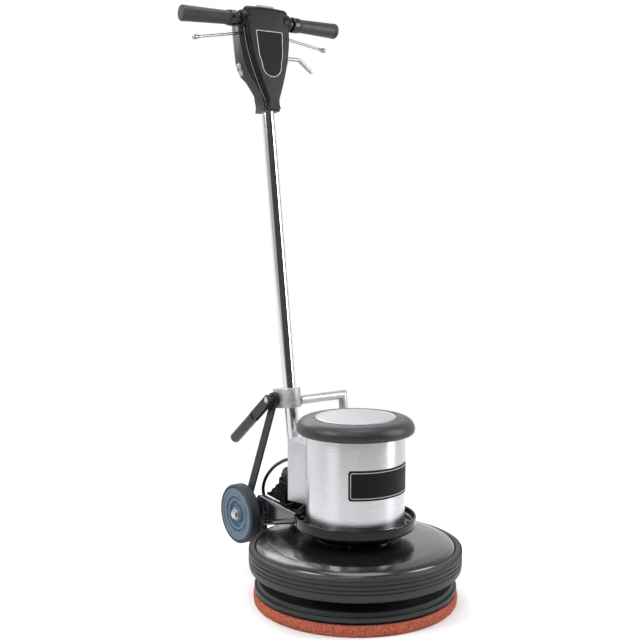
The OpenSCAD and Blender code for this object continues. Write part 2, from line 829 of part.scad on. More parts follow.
// Side profile of the rear housing, as (Y, height) points
module rear_profile(t = 0) {
    foot = neck_h - 3 + t;
    polygon(concat(
        [[-1, foot], [20 - t, foot], [20 - t, shoulder_h + 14], [27 - t, shoulder_h + 44],
         [47 - t, shoulder_h + 63], [50 - t, shoulder_h + 80], [rear_d - t, bar_h - 18]],
        arc(rear_d - 26, head_top - 27, 26 - t, 8, 90, 7), [[-1, head_top - 1 - t]]));
}

// The rear housing narrows towards its back in three steps; m draws it in further
module rear_steps(m = 0) {
    foot = neck_h - 10;
    for (s = [[0, 14, 1, 58], [14, 27, 3, 54], [27, 70, 4.5, 50]]) {
        half = s[3] - m;
        y_plate(s[0] == 0 ? 0.05 - m : s[0] - m - e, s[1] - (s[1] < 60 ? m : 0))
            intersection() {
                polygon(head_outline(s[2] + m));
                translate([-half, foot]) square([2*half, head_top - foot]);
            }
    }
}

module head_rear() {
    color([0.17, 0.17, 0.18]) handle_frame() {
        difference() {
            intersection() {
                rear_steps();
                x_plate(-70, 70) rear_profile();
            }
            intersection() {
                rear_steps(wall);
                x_plate(-70, 70) rear_profile(wall);
                translate([-70, -10, shoulder_h + 10]) cube([140, 90, head_top - shoulder_h]);
            }
            head_cuts();
            at_head_screws() translate([0, 0, -wall - 2]) cylinder(r = 2.7, h = 12, $fn = 32);
        }
        both_sides() translate([lever_x, lever_y - 4, lever_h]) rotate([-90, 0, 0])
            cylinder(r = lever_pin_r, h = pin_y - lever_y + 4, $fn = 32);
    }
}

// Places its child at each screw of the rear housing, facing backwards
module at_head_screws() {
    for (p = [[26, bar_h - 40, rear_d - 3], [22, shoulder_h + 84, 50]])
        both_sides() translate([p[0], p[2], p[1]]) rotate([-90, 0, 0]) children();
}

module head_screws() {
    color(steel) handle_frame() at_head_screws() {
        translate([0, 0, 3.1]) cylinder(r = 5, h = 2.6, $fn = 32);
        translate([0, 0, -8]) cylinder(r = 2.5, h = 11.2, $fn = 32);
    }
}

// A blank shield-shaped plate on the front of the head
module name_panel() {
    top = bar_h - 28;
    foot = bar_h - 102;
    color(charcoal) handle_frame() y_plate(-front_d - 1, -front_d) polygon(concat(
        [[35, top], [-35, top]], arc(0, foot, 29, 180, 360, 16)));
}

module power_switch() {
    color(charcoal) handle_frame(lever_h + 2) translate([0, 17, 0]) union() {
        cube([44, 24, 30], center = true);
        both_sides() translate([24, -8, -2]) cube([6, 6, 8], center = true);
    }
}

// A two-screw saddle that holds the supply cord's entry on the left of the head
module cord_gland() {
    slope = atan(head_half(gland_h + 0.5) - head_half(gland_h - 0.5));
    color(silver) handle_frame(gland_h) translate([4.45 - head_half(gland_h), gland_y, 0])
        rotate([0, -90 - slope, 0]) {
        for (x = [-8, 8]) translate([x, 0, 0]) {
            cylinder(r = 7.5, h = 5, $fn = 48);
            translate([0, 0, 4]) cylinder(r = 5.5, h = 4, $fn = 48);
        }
        translate([0, 0, 2]) cube([16, 9, 4], center = true);
    }
}

// ---- Moving controls ----

// The lever on the right, which runs outwards under the grip
module lever_shape() {
    dx = lever_tip[0] - lever_x;
    dz = lever_tip[1] - lever_h;
    length = norm([dx, dz]);
    handle_frame() translate([lever_x, lever_y, lever_h]) difference() {
        union() {
            rotate([90, 0, 0]) cylinder(r = 7, h = 7, center = true, $fn = 48);
            rotate([0, 90 - atan(dz/dx), 0]) {
                cylinder(r = 3.4, h = length, $fn = 32);
                translate([0, 0, length]) sphere(r = 6, $fn = 32);
            }
        }
        rotate([90, 0, 0]) cylinder(r = lever_pin_r + run, h = 20, center = true, $fn = 32);
    }
}

module right_lever() {
    color([0.8, 0.8, 0.82]) lever_shape();
}

module left_lever() {
    color([0.8, 0.8, 0.82]) mirror([1, 0, 0]) lever_shape();
}

module interlock_button() {
    color([0.62, 0.63, 0.64]) handle_frame(head_top) translate([0, button_y, 0])
        y_plate(-6.5, 6.5) polygon(round_box(-button_w/2, -4, button_w/2, 4.5, 3, 4));
}

// The cord hook on the right of the head; it turns in the housing to let the cord go
module upper_hook() {
    fall = 38;                 // outer end slopes down by this much
    reach = 42;
    corner_x = 106;
    color([0.8, 0.8, 0.82]) handle_frame(hook_h) translate([0, hook_y, 0]) {
        x_bar(5.4, 38, 52, $fn = 32);
        x_bar(4.5, 50, corner_x, $fn = 32);
        translate([corner_x, 0, 0]) sphere(r = 5, $fn = 32);
        translate([corner_x, 0, 0]) rotate([0, 90 + fall, 0]) cylinder(r = 4.3, h = reach, $fn = 32);
        translate([corner_x + reach*cos(fall), 0, -reach*sin(fall)]) sphere(r = 5.2, $fn = 32);
        translate([72, 0, -11]) cylinder(r = 3, h = 9, $fn = 32);
    }
}

// ---- Clamp and strut ----

module handle_clamp() {
    h = clamp_t;
    color(silver) handle_frame(clamp_h - h/2) difference() {
        union() {
            cylinder(r = collar_r, h = h);
            linear_extrude(h) polygon(round_box(-clamp_w, -8, clamp_w, 37, 8, 5));
        }
        translate([0, 0, -e]) cylinder(r = tube_r + run, h = h + 2*e);
        translate([-1.5, 0, -e]) cube([3, 50, h + 2*e]);
        translate([0, bolt_y, h/2]) x_bar(bolt_r + 0.1, -50, 50);
    }
}

module clamp_bolt() {
    color(steel) handle_frame(clamp_h) translate([0, bolt_y, 0]) union() {
        x_bar(bolt_r, -52, clamp_w + 6);
        x_bar(9, clamp_w + 0.02, clamp_w + 6, $fn = 6);
        x_bar(7, -53, -50.8, $fn = 48);
    }
}

// The cord hook on the right of the clamp, square to its own foot
module lower_hook() {
    r = 10.5;
    color([0.66, 0.66, 0.68]) handle_frame(clamp_h + hook_h0) difference() {
        union() {
            x_bar(r, 20, hook_x + r);
            translate([hook_x, 0, -hook_drop]) cylinder(r = 10, h = hook_drop);
        }
        translate([0, 0, -30]) cylinder(r = collar_r + seat, h = 60);
        translate([0, 0, 0]) cube([2*(clamp_w + seat), 60, 60], center = true);
    }
}

// The cam lever: a fork about the clamp bolt, drawn together into a sleeved grip
module cam_lever() {
    x_out = -48.6;
    x_in = -37.8;
    leg_t = 3.6;
    leg_w = 22;
    grip_r = 12.2;
    grip_l = 112;
    color(black) handle_frame(clamp_h) translate([0, bolt_y, 0]) difference() {
        union() {
            x_bar(12, x_out - leg_t/2 - 0.2, x_in + leg_t/2, $fn = 64);
            rotate([-lever_a, 0, 0]) {
                for (x = [x_out, x_in]) translate([x - leg_t/2, 0, -leg_w/2])
                    cube([leg_t, lever_len - grip_l + 4, leg_w]);
                translate([(x_out + x_in)/2, lever_len - grip_l, 0]) rotate([-90, 0, 0])
                    cylinder(r = grip_r, h = grip_l, $fn = 48);
            }
        }
        x_bar(bolt_r + run, -60, 0);
        x_bar(15, x_out + leg_t/2, x_in - leg_t/2);
    }
}

// The strut from the axle to the clamp bolt: a flat bar, bent near each end
module strut() {
    bolt = [pivot_y + clamp_h*sin(lean) + bolt_y*cos(lean), pivot_z + clamp_h*cos(lean) - bolt_y*sin(lean)];
    length = norm([bolt[0] - axle_y, bolt[1] - axle_z]);
    tilt = atan((bolt[0] - axle_y)/(bolt[1] - axle_z));
    t = strut_t/2;
    w = 11.5;
    color([0.13, 0.13, 0.135]) translate([0, axle_y, axle_z]) rotate([-tilt, 0, 0]) difference() {
        union() {
            translate([0, 0, length]) x_bar(15, -eye_x, -clamp_w - 0.3, $fn = 64);
            intersection() {
                y_plate(-20, 20) polygon([
                    [-strut_x - t, -20], [-strut_x + t, -20], [-strut_x + t, 24],
                    [-eye_x + t, length - 27], [-eye_x + t, length + 20],
                    [-eye_x - t, length + 20], [-eye_x - t, length - 26], [-strut_x - t, 25]]);
                x_plate(-strut_x - 10, 0) polygon(concat(
                    arc(0, 0, 16, 180, 360, 10), [[w, 24], [w, length - 22]],
                    arc(0, length, 16, -30, 210, 14), [[-w, length - 22], [-w, 24]]));
            }
        }
        x_bar(axle_r + run, -strut_x - 10, 0);
        translate([0, 0, length]) x_bar(bolt_r + open_gap, -strut_x - 10, 0);
    }
}

scrub_pad();
grip_face();
pad_driver();
clutch_plate();
drive_hub();
output_carrier();
planet_gear(0);  // planet_gear_1
planet_gear(120);  // planet_gear_2
planet_gear(240);  // planet_gear_3
sun_gear();
rotor_shaft();
rotor_core();
cooling_fan();
ring_gear();
bearings();
gearcase();
deck();
bumper();
base_screws();
motor_tray();
motor_shell();
stator_core();
windings();
end_bell();
motor_cap();
cap_disc();
motor_label();
capacitor_box();
capacitors();
motor_lead();
lead_gland();
lead_connector();
left_arm();
right_arm();
cross_tube();
axle();
axle_nuts();
left_wheel();
left_tyre();
right_wheel();
right_tyre();
handle_socket();
handle_tube();
handlebar();
handle_grips();
head_front();
head_rear();
head_screws();
name_panel();
power_switch();
cord_gland();
left_lever();
right_lever();
interlock_button();
upper_hook();
handle_clamp();
clamp_bolt();
lower_hook();
cam_lever();
strut();
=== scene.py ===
import json
import math
import random

import bmesh
import bpy
import numpy as np
from mathutils import Matrix, Vector, noise


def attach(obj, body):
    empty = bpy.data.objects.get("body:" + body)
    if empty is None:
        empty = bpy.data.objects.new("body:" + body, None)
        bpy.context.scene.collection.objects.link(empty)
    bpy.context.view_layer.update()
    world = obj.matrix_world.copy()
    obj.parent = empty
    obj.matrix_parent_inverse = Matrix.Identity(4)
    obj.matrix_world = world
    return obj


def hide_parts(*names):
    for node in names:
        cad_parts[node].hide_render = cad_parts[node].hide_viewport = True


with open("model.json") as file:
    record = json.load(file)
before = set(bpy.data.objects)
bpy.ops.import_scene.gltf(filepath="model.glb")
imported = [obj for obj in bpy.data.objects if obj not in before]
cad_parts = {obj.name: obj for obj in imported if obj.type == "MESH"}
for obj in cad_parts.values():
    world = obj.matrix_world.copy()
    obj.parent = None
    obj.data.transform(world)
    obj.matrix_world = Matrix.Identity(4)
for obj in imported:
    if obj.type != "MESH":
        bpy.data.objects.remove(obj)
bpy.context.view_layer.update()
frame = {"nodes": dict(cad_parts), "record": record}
nodes = frame["nodes"]
joints = {j["name"]: j for j in frame["record"]["behaviour"]["joints"]}
scene = bpy.context.scene
scene.view_settings.view_transform = "Standard"
scene.view_settings.look = "None"

# Shapes below are in millimetres, in the row frame or in the handle's own frame:
# its origin is the handle's pivot and its Z runs up the tube.
ROW = Matrix.Identity(4)
up = Vector(joints["clamp_slide"]["axis"])
pivot = Vector(joints["handle_tilt"]["pos_m"]) * 1000
HANDLE = Matrix(((1, 0, 0, pivot.x), (0, up.z, up.y, pivot.y), (0, -up.y, up.z, pivot.z), (0, 0, 0, 1)))


def span(name, place=ROW):
    """Lowest and highest corners of a CAD node in millimetres, in the given frame."""
    mesh = nodes[name].data
    co = np.empty(len(mesh.vertices) * 3)
    mesh.vertices.foreach_get("co", co)
    back = np.array(place.inverted())
    co = co.reshape(-1, 3) * 1000 @ back[:3, :3].T + back[:3, 3]
    return Vector(co.min(0)), Vector(co.max(0))


# ---- Camera, floor and light ----

YAW, PITCH = math.radians(-36.26), math.radians(5.94)
look = Vector((-math.sin(YAW) * math.cos(PITCH), math.cos(YAW) * math.cos(PITCH), -math.sin(PITCH)))
camera = bpy.data.objects.new("camera", bpy.data.cameras.new("camera"))
camera.location = (-1.3606, -1.7288, 0.8254)
camera.rotation_mode = "QUATERNION"
camera.rotation_quaternion = look.to_track_quat("-Z", "Y")
camera.data.lens = 59.87
camera.data.sensor_width = 36
camera.data.clip_end = 60
scene.collection.objects.link(camera)
scene.camera = camera


def node(tree, kind, *sources, **values):
    """A shader node: sources link to its first inputs, and values go to the inputs or settings they name."""
    n = tree.nodes.new("ShaderNode" + kind)
    for socket, source in zip(n.inputs, sources):
        tree.links.new(source, socket)
    for key, value in values.items():
        if key not in n.inputs:
            setattr(n, key, value)
        elif isinstance(value, bpy.types.NodeSocket):
            tree.links.new(value, n.inputs[key])
        else:
            n.inputs[key].default_value = value
    return n


def ramp(tree, value, lo, hi, to_lo=0.0, to_hi=1.0):
    """value, eased from lo..hi to to_lo..to_hi."""
    limits = {"From Min": lo, "From Max": hi, "To Min": to_lo, "To Max": to_hi}
    return node(tree, "MapRange", value, interpolation_type="SMOOTHSTEP", **limits).outputs[0]


def emptied(owner):
    """The node tree of a material or world, with no nodes in it."""
    owner.use_nodes = True
    owner.node_tree.nodes.clear()
    return owner.node_tree


def area(name, place, target, size, power):
    """An area light at place that faces target, size metres across and up, with power in watts."""
    data = bpy.data.lights.new(name, "AREA")
    data.shape = "RECTANGLE"
    data.size, data.size_y = size
    data.energy = power
    lamp = bpy.data.objects.new(name, data)
    lamp.location = place
    lamp.rotation_mode = "QUATERNION"
    lamp.rotation_quaternion = (Vector(target) - Vector(place)).to_track_quat("-Z", "Y")
    scene.collection.objects.link(lamp)


# The room is pale and brightest behind the machine, with a dark side behind the camera that polished
# parts show as dark streaks. The camera itself sees plain white.
DARK_SIDE = (-0.313, -0.949, 0.0)
world = bpy.data.worlds.new("studio")
scene.world = world
wt = emptied(world)
room = node(wt, "TexCoord").outputs["Generated"]
w_dot = node(wt, "VectorMath", room, operation="DOT_PRODUCT")
w_dot.inputs[1].default_value = DARK_SIDE
w_split = node(wt, "SeparateXYZ", room)
w_dark = node(wt, "Math", ramp(wt, w_dot.outputs["Value"], 0.42, 0.66),
              ramp(wt, w_split.outputs["Z"], 0.28, 0.62, 1.0, 0.0), operation="MULTIPLY")
w_power = node(wt, "Math", ramp(wt, w_dark.outputs[0], 0.0, 1.0, 1.0, 0.12),
               ramp(wt, w_dot.outputs["Value"], -0.75, -0.1, 1.05, 0.5), operation="MULTIPLY")
w_light = node(wt, "Background", Color=(0.95, 0.97, 1.0, 1), Strength=w_power.outputs[0])
w_seen = node(wt, "Background", Color=(1, 1, 1, 1), Strength=1.0)
w_ray = node(wt, "LightPath").outputs["Is Camera Ray"]
w_mix = node(wt, "MixShader", w_ray, w_light.outputs[0], w_seen.outputs[0])
node(wt, "OutputWorld", w_mix.outputs[0])

area("key", (-2.2, 0.35, 2.2), (0, 0, 0.35), (1.1, 1.4), 44)
area("front", (-1.7, -1.7, 2.6), (0, 0, 0.5), (1.2, 0.9), 14)
area("right_strip", (1.5, -1.25, 1.3), (0, 0, 0.4), (0.8, 1.7), 30)
area("back", (0.5, 2.3, 2.0), (0, 0, 0.5), (2.0, 1.2), 26)
area("top", (0, -0.1, 2.9), (0, 0, 0), (1.6, 1.6), 28)

# The floor takes the shadow near the machine and fades to white further out
FLOOR = 14
floor_mesh = bpy.data.meshes.new("floor")
corners = [(x, y, 0) for x, y in ((-FLOOR, -FLOOR), (FLOOR, -FLOOR), (FLOOR, FLOOR), (-FLOOR, FLOOR))]
floor_mesh.from_pydata(corners, [], [(0, 1, 2, 3)])
floor = bpy.data.objects.new("floor", floor_mesh)
scene.collection.objects.link(floor)
f_mat = bpy.data.materials.new("floor")
ft = emptied(f_mat)
f_far = node(ft, "VectorMath", node(ft, "TexCoord").outputs["Object"], operation="LENGTH")
f_diffuse = node(ft, "BsdfDiffuse", Color=(0.93, 0.93, 0.93, 1))
f_white = node(ft, "Emission", Color=(1, 1, 1, 1), Strength=1.0)
f_fade = ramp(ft, f_far.outputs["Value"], 0.42, 1.3)
f_mix = node(ft, "MixShader", f_fade, f_diffuse.outputs[0], f_white.outputs[0])
node(ft, "OutputMaterial", f_mix.outputs[0])
floor_mesh.materials.append(f_mat)

# ---- Materials ----

COAT_ROUGH = 0.13
GRAIN_DEPTH = 0.0004        # metres


def surface(name, color, rough=0.5, metal=0.0, mottle=0.06, scale=40.0, grain=0.0, grain_scale=900.0,
            stretch=(1, 1, 1), coat=0.0, aniso=0.0, rough_vary=0.06, spec=0.5, streak=0.0):
    """A finish with its own mottle, grain and streaks; stretch draws the grain out for brushed metal."""
    made = bpy.data.materials.new(name)
    tree = emptied(made)
    coord = node(tree, "TexCoord").outputs["Object"]
    broad = node(tree, "TexNoise", coord, Scale=scale, Detail=5.0, Roughness=0.6)
    drawn_out = node(tree, "Mapping", coord, Scale=stretch)
    fine = node(tree, "TexNoise", drawn_out.outputs[0], Scale=grain_scale, Detail=3.0)
    tint = (*color, 1)
    for source, depth in ((broad, mottle), (fine, streak)):
        if depth:
            tones = [ramp(tree, source.outputs["Fac"], 0.3, 0.7, 1 - depth, 1 + depth) for _ in range(3)]
            tone = node(tree, "CombineColor", *tones)
            tint = node(tree, "Mix", data_type="RGBA", blend_type="MULTIPLY", Factor=1.0, A=tint,
                        B=tone.outputs[0]).outputs["Result"]
    gloss = ramp(tree, (fine if aniso else broad).outputs["Fac"], 0.3, 0.7,
                 max(0.02, rough - rough_vary), min(1.0, rough + rough_vary))
    values = {"Metallic": metal, "Coat Weight": coat, "Coat Roughness": COAT_ROUGH, "Specular IOR Level": spec,
              "Base Color": tint, "Roughness": gloss}
    if grain:
        bump = node(tree, "Bump", Strength=min(1.0, grain), Distance=GRAIN_DEPTH, Height=fine.outputs["Fac"])
        values["Normal"] = bump.outputs[0]
    if aniso:
        tangent = node(tree, "Tangent", direction_type="RADIAL", axis="Z")
        values |= {"Anisotropic": aniso, "Anisotropic Rotation": 0.25, "Tangent": tangent.outputs[0]}
    node(tree, "OutputMaterial", node(tree, "BsdfPrincipled", **values).outputs[0])
    return made


M = {
    "pad": surface("pad_web", (0.40, 0.105, 0.062), 0.95, mottle=0.45, scale=260, grain=1.0,
                   grain_scale=700, spec=0.1),
    "fibre": surface("pad_fibre", (0.50, 0.15, 0.09), 0.9, mottle=0.4, scale=120, spec=0.1),
    "bristle": surface("bristle", (0.012, 0.012, 0.013), 0.5, mottle=0.2),
    "driver": surface("driver_plastic", (0.021, 0.0225, 0.0225), 0.45, mottle=0.2, grain=0.15, spec=0.3),
    "deck": surface("deck_gloss", (0.008, 0.008, 0.009), 0.2, mottle=0.15, coat=0.45, rough_vary=0.05,
                    grain=0.03, grain_scale=90),
    "tray": surface("tray_enamel", (0.005, 0.005, 0.006), 0.16, mottle=0.15, coat=0.1, grain=0.05,
                    grain_scale=260, spec=0.2),
    "black": surface("black_enamel", (0.006, 0.006, 0.007), 0.18, mottle=0.15, coat=0.4, grain=0.05,
                     grain_scale=260),
    "rubber": surface("bumper_rubber", (0.021, 0.021, 0.0225), 0.5, mottle=0.16, grain=0.25,
                      grain_scale=1400, spec=0.35),
    "shell": surface("brushed_shell", (0.66, 0.66, 0.68), 0.27, 1.0, mottle=0.008, aniso=0.85,
                     stretch=(1, 1, 160), grain=0.004, grain_scale=12, streak=0.012, rough_vary=0.012),
    "cap": surface("cap_plastic", (0.020, 0.020, 0.021), 0.4, mottle=0.12, grain=0.15, grain_scale=1600,
                   spec=0.42),
    "disc": surface("brushed_disc", (0.44, 0.44, 0.45), 0.4, 1.0, mottle=0.02, stretch=(1, 90, 1),
                    grain=0.02, grain_scale=9, streak=0.05, rough_vary=0.02),
    "label": surface("label_black", (0.006, 0.006, 0.007), 0.5, mottle=0.2, spec=0.14),
    "outline": surface("pale_outline", (0.45, 0.45, 0.46), 0.45, mottle=0.08),
    "satin": surface("satin_box", (0.50, 0.50, 0.515), 0.38, 0.75, mottle=0.07, scale=25, grain=0.12,
                     grain_scale=500, streak=0.05),
    "pipe": surface("satin_pipe", (0.44, 0.44, 0.45), 0.4, 0.8, mottle=0.1, grain=0.15, grain_scale=700),
    "cast": surface("cast_metal", (0.40, 0.40, 0.41), 0.5, 0.75, mottle=0.14, scale=90, grain=0.5,
                    grain_scale=900),
    "chrome": surface("chrome", (0.80, 0.80, 0.82), 0.1, 1.0, mottle=0.03, rough_vary=0.01),
    "rod": surface("plated_rod", (0.34, 0.34, 0.35), 0.3, 0.85, mottle=0.15, rough_vary=0.1),
    # A pale strip along the head's lip: a painted highlight
    "lip_highlight": surface("painted_lip_highlight", (0.30, 0.30, 0.31), 0.3, 0.3, mottle=0.35, scale=70, rough_vary=0.15),
    # The head's sides: the same plastic as its face, painted darker as painted shade
    "side": surface("head_side", (0.004, 0.004, 0.0045), 0.24, mottle=0.2, grain=0.15, grain_scale=1300,
                    spec=0.12),
    "steel": surface("bright_steel", (0.55, 0.55, 0.56), 0.28, 1.0, mottle=0.1, grain=0.08),
    "dark_steel": surface("dark_steel", (0.2, 0.2, 0.205), 0.4, 1.0, mottle=0.15, grain=0.1),
    "zinc": surface("blackened_screw", (0.06, 0.06, 0.062), 0.35, 0.8, mottle=0.2, grain=0.1),
    "brass": surface("hub_cap", (0.56, 0.50, 0.46), 0.3, 0.9, mottle=0.2),
    "copper": surface("winding_wire", (0.55, 0.2, 0.07), 0.35, 0.9, mottle=0.2, stretch=(1, 1, 30),
                      grain=0.5, grain_scale=60),
    "nylon": surface("gear_nylon", (0.75, 0.68, 0.45), 0.45, mottle=0.08),
    "wheel": surface("wheel_core", (0.085, 0.135, 0.185), 0.42, mottle=0.12, scale=60, grain=0.15, spec=0.4),
    "tyre": surface("tyre_rubber", (0.035, 0.044, 0.051), 0.6, mottle=0.18, grain=0.3, spec=0.3),
    "head": surface("head_plastic", (0.009, 0.009, 0.0095), 0.33, mottle=0.12, grain=0.15, grain_scale=1300,
                    spec=0.17),
    "rear": surface("rear_plastic", (0.016, 0.016, 0.017), 0.42, mottle=0.2, grain=0.3, grain_scale=1100,
                    spec=0.35),
    "gloss": surface("gloss_black", (0.006, 0.006, 0.007), 0.2, mottle=0.15, coat=0.2, spec=0.4),
    "grip": surface("grip_vinyl", (0.022, 0.022, 0.023), 0.42, mottle=0.15, grain=0.25, grain_scale=1200,
                    spec=0.4),
    "strut": surface("strut_black", (0.016, 0.016, 0.017), 0.4, mottle=0.18, grain=0.15, spec=0.35),
    "button": surface("button_plastic", (0.28, 0.28, 0.29), 0.45, mottle=0.06),
    "blue": surface("capacitor_can", (0.05, 0.09, 0.22), 0.35, mottle=0.08),
}

# CAD nodes that show as they are: the workings, which no outside view shows, and the switch
LOOKS = {
    "driver": ["clutch_plate"], "cast": ["drive_hub", "end_bell"],
    "steel": ["bearings", "rotor_shaft", "sun_gear", "output_carrier", "ring_gear", "axle"],
    "dark_steel": ["rotor_core", "stator_core", "cooling_fan"], "copper": ["windings"],
    "nylon": ["planet_gear_1", "planet_gear_2", "planet_gear_3"], "head": ["power_switch"],
    "blue": ["capacitors"],
}
for look_name, members in LOOKS.items():
    for member in members:
        mesh = nodes[member].data
        mesh.materials.clear()
        mesh.materials.append(M[look_name])

# ---- Mesh tools ----


def piece(name, shape, look, body, stands=(), place=ROW, bevel=0.0, segments=3, angle=32):
    """Makes a piece from (vertices, faces) in millimetres and has it ride on a CAD body."""
    verts, faces = shape
    mesh = bpy.data.meshes.new(name)
    mesh.from_pydata([tuple((place @ Vector(v)) / 1000) for v in verts], [], faces)
    bm = bmesh.new()
    bm.from_mesh(mesh)
    bmesh.ops.remove_doubles(bm, verts=bm.verts, dist=1e-7)
    bmesh.ops.recalc_face_normals(bm, faces=bm.faces)
    bm.to_mesh(mesh)
    bm.free()
    mesh.shade_smooth()
    if not bevel:
        mesh.set_sharp_from_angle(angle=math.radians(angle))
    mesh.materials.append(M[look])
    obj = bpy.data.objects.new(name, mesh)
    scene.collection.objects.link(obj)
    if bevel:
        edge = obj.modifiers.new("edge", "BEVEL")
        edge.width = bevel / 1000
        edge.segments = segments
        edge.limit_method = "ANGLE"
        edge.angle_limit = math.radians(40)
        edge.harden_normals = True
    stands = [stands] if isinstance(stands, str) else list(stands)
    if stands:
        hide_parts(*stands)
    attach(obj, body)
    return obj


def join(*shapes):
    verts, faces = [], []
    for v, f in shapes:
        faces += [tuple(i + len(verts) for i in face) for face in f]
        verts += [tuple(p) for p in v]
    return verts, faces


def moved(shape, matrix):
    return [tuple(matrix @ Vector(v)) for v in shape[0]], shape[1]


def mirrored(shape):
    return [(-v[0], v[1], v[2]) for v in shape[0]], shape[1]


def both(shape):
    """A shape and its mirror image."""
    return join(shape, mirrored(shape))


def at(x=0, y=0, z=0):
    return Matrix.Translation((x, y, z))


def turn(degrees, axis):
    return Matrix.Rotation(math.radians(degrees), 4, axis)


ALONG_X = turn(90, "Y")
ALONG_Y = turn(-90, "X")


def cosd(degrees):
    return math.cos(math.radians(degrees))


def sind(degrees):
    return math.sin(math.radians(degrees))


def rect(x0, y0, x1, y1):
    return [(x0, y0), (x1, y0), (x1, y1), (x0, y1)]


def offset(x0, y0, *points):
    """Points in the plane, given from (x0, y0)."""
    return [(x0 + x, y0 + y) for x, y in points]


def arc(cx, cy, r, a0, a1, n=8):
    """Points along an arc from a0 to a1 degrees."""
    turns = [a0 + (a1 - a0) * i / n for i in range(n + 1)]
    return [(cx + r * cosd(a), cy + r * sind(a)) for a in turns]


def rounded(points, radius, closed=False, n=5):
    """Rounds the corners of a line in the plane or in space. radius is one number or one for each point."""
    flat = len(points[0]) == 2
    pts = [Vector((*p, 0)) if flat else Vector(p) for p in points]
    count = len(pts)
    out = []
    for i, b in enumerate(pts):
        r = radius[i] if isinstance(radius, (list, tuple)) else radius
        if r <= 0 or (not closed and i in (0, count - 1)):
            out.append(b)
            continue
        u, v = pts[i - 1] - b, pts[(i + 1) % count] - b
        lu, lv = u.length, v.length
        half = u.angle(v) / 2
        if half > math.radians(89.5):
            out += [b] * (n + 1)
            continue
        u, v = u / lu, v / lv
        d = min(r / math.tan(half), 0.48 * lu, 0.48 * lv)
        r = d * math.tan(half)
        centre = b + (u + v).normalized() * (r / math.sin(half))
        s, t = b + u * d - centre, b + v * d - centre
        whole = s.angle(t)
        for k in range(n + 1):
            w = k / n
            out.append(centre + (s * math.sin((1 - w) * whole) + t * math.sin(w * whole)) / math.sin(whole))
    return [tuple(p)[:2] for p in out] if flat else out


def lathe(profile, n=128):
    """Turns a line of (radius, height) about Z; a line that starts and ends off the axis closes on itself."""
    verts, faces, rows = [], [], []
    for r, z in profile:
        turns = [2 * math.pi * k / n for k in range(1 if abs(r) < 1e-6 else n)]
        rows.append(range(len(verts), len(verts) + len(turns)))
        verts += [(r * math.cos(a), r * math.sin(a), z) for a in turns]
    pairs = list(zip(rows, rows[1:]))
    if len(rows[0]) > 1 and len(rows[-1]) > 1:
        pairs.append((rows[-1], rows[0]))
    for a, b in pairs:
        for k in range(n):
            j = (k + 1) % n
            if len(a) > 1 and len(b) > 1:
                faces.append((a[k], a[j], b[j], b[k]))
            elif len(b) > 1:
                faces.append((a[0], b[j], b[k]))
            elif len(a) > 1:
                faces.append((a[k], a[j], b[0]))
    return verts, faces


def turned(points, radius, n, steps=5):
    """Turns a closed outline about Z, with its corners rounded."""
    return lathe(rounded(points, radius, closed=True, n=steps), n)


def loft(rings):
    """Skins rings of the same number of points, and closes both ends."""
    n = len(rings[0])
    verts = [tuple(p) for ring in rings for p in ring]
    faces = [tuple(range(n)), tuple(range(len(verts) - n, len(verts)))]
    for i in range(len(rings) - 1):
        a, b = i * n, i * n + n
        faces += [(a + k, a + (k + 1) % n, b + (k + 1) % n, b + k) for k in range(n)]
    return verts, faces


def hoop(rings):
    """Skins rings of the same number of points, and joins the last one to the first."""
    n, m = len(rings[0]), len(rings)
    verts = [tuple(p) for ring in rings for p in ring]
    return verts, [(i * n + k, i * n + (k + 1) % n, (i + 1) % m * n + (k + 1) % n, (i + 1) % m * n + k)
                   for i in range(m) for k in range(n)]


def prism(outline, a, b, axis="Z"):
    """Extrudes a plane outline from a to b: (x, y) along Z, (x, z) along Y or (y, z) along X."""
    put = {"Z": lambda u, v, w: (u, v, w), "Y": lambda u, v, w: (u, w, v), "X": lambda u, v, w: (w, u, v)}[axis]
    return loft([[put(u, v, w) for u, v in outline] for w in (a, b)])


def sweep(path, radius, n=24, domed=True):
    """A round bar along a path; radius is one number or one for each point."""
    path = [Vector(p) for p in path]
    radii = list(radius) if isinstance(radius, (list, tuple)) else [radius] * len(path)
    if domed:
        turns = [math.radians(a) for a in (90, 65, 42, 20)]
        for _ in range(2):                     # one end, then the other
            tip, r = path[0], radii[0]
            away = (path[1] - tip).normalized()
            path = ([tip - away * r * math.sin(t) for t in turns] + path)[::-1]
            radii = ([max(0.02 * r, r * math.cos(t)) for t in turns] + radii)[::-1]
    rings, side = [], None
    for i, p in enumerate(path):
        ahead = (path[min(i + 1, len(path) - 1)] - path[max(i - 1, 0)]).normalized()
        side = Vector((0.31, 0.87, 0.38)) if side is None else side      # any start off the path's line
        side = (side - ahead * side.dot(ahead)).normalized()
        other = ahead.cross(side)
        turns = [2 * math.pi * k / n for k in range(n)]
        rings.append([p + side * (radii[i] * math.cos(t)) + other * (radii[i] * math.sin(t)) for t in turns])
    return loft(rings)


def curved(points, steps=8):
    """A smooth line through the points."""
    pts = [Vector(p) for p in points]
    pts = [pts[0] * 2 - pts[1]] + pts + [pts[-1] * 2 - pts[-2]]
    out = []
    for a, b, c, d in zip(pts, pts[1:], pts[2:], pts[3:]):
        for k in range(steps):
            t = k / steps
            bend, twist = a * 2 - b * 5 + c * 4 - d, b * 3 - a - c * 3 + d
            out.append(0.5 * (b * 2 + (c - a) * t + bend * t**2 + twist * t**3))
    return out + [pts[-2]]


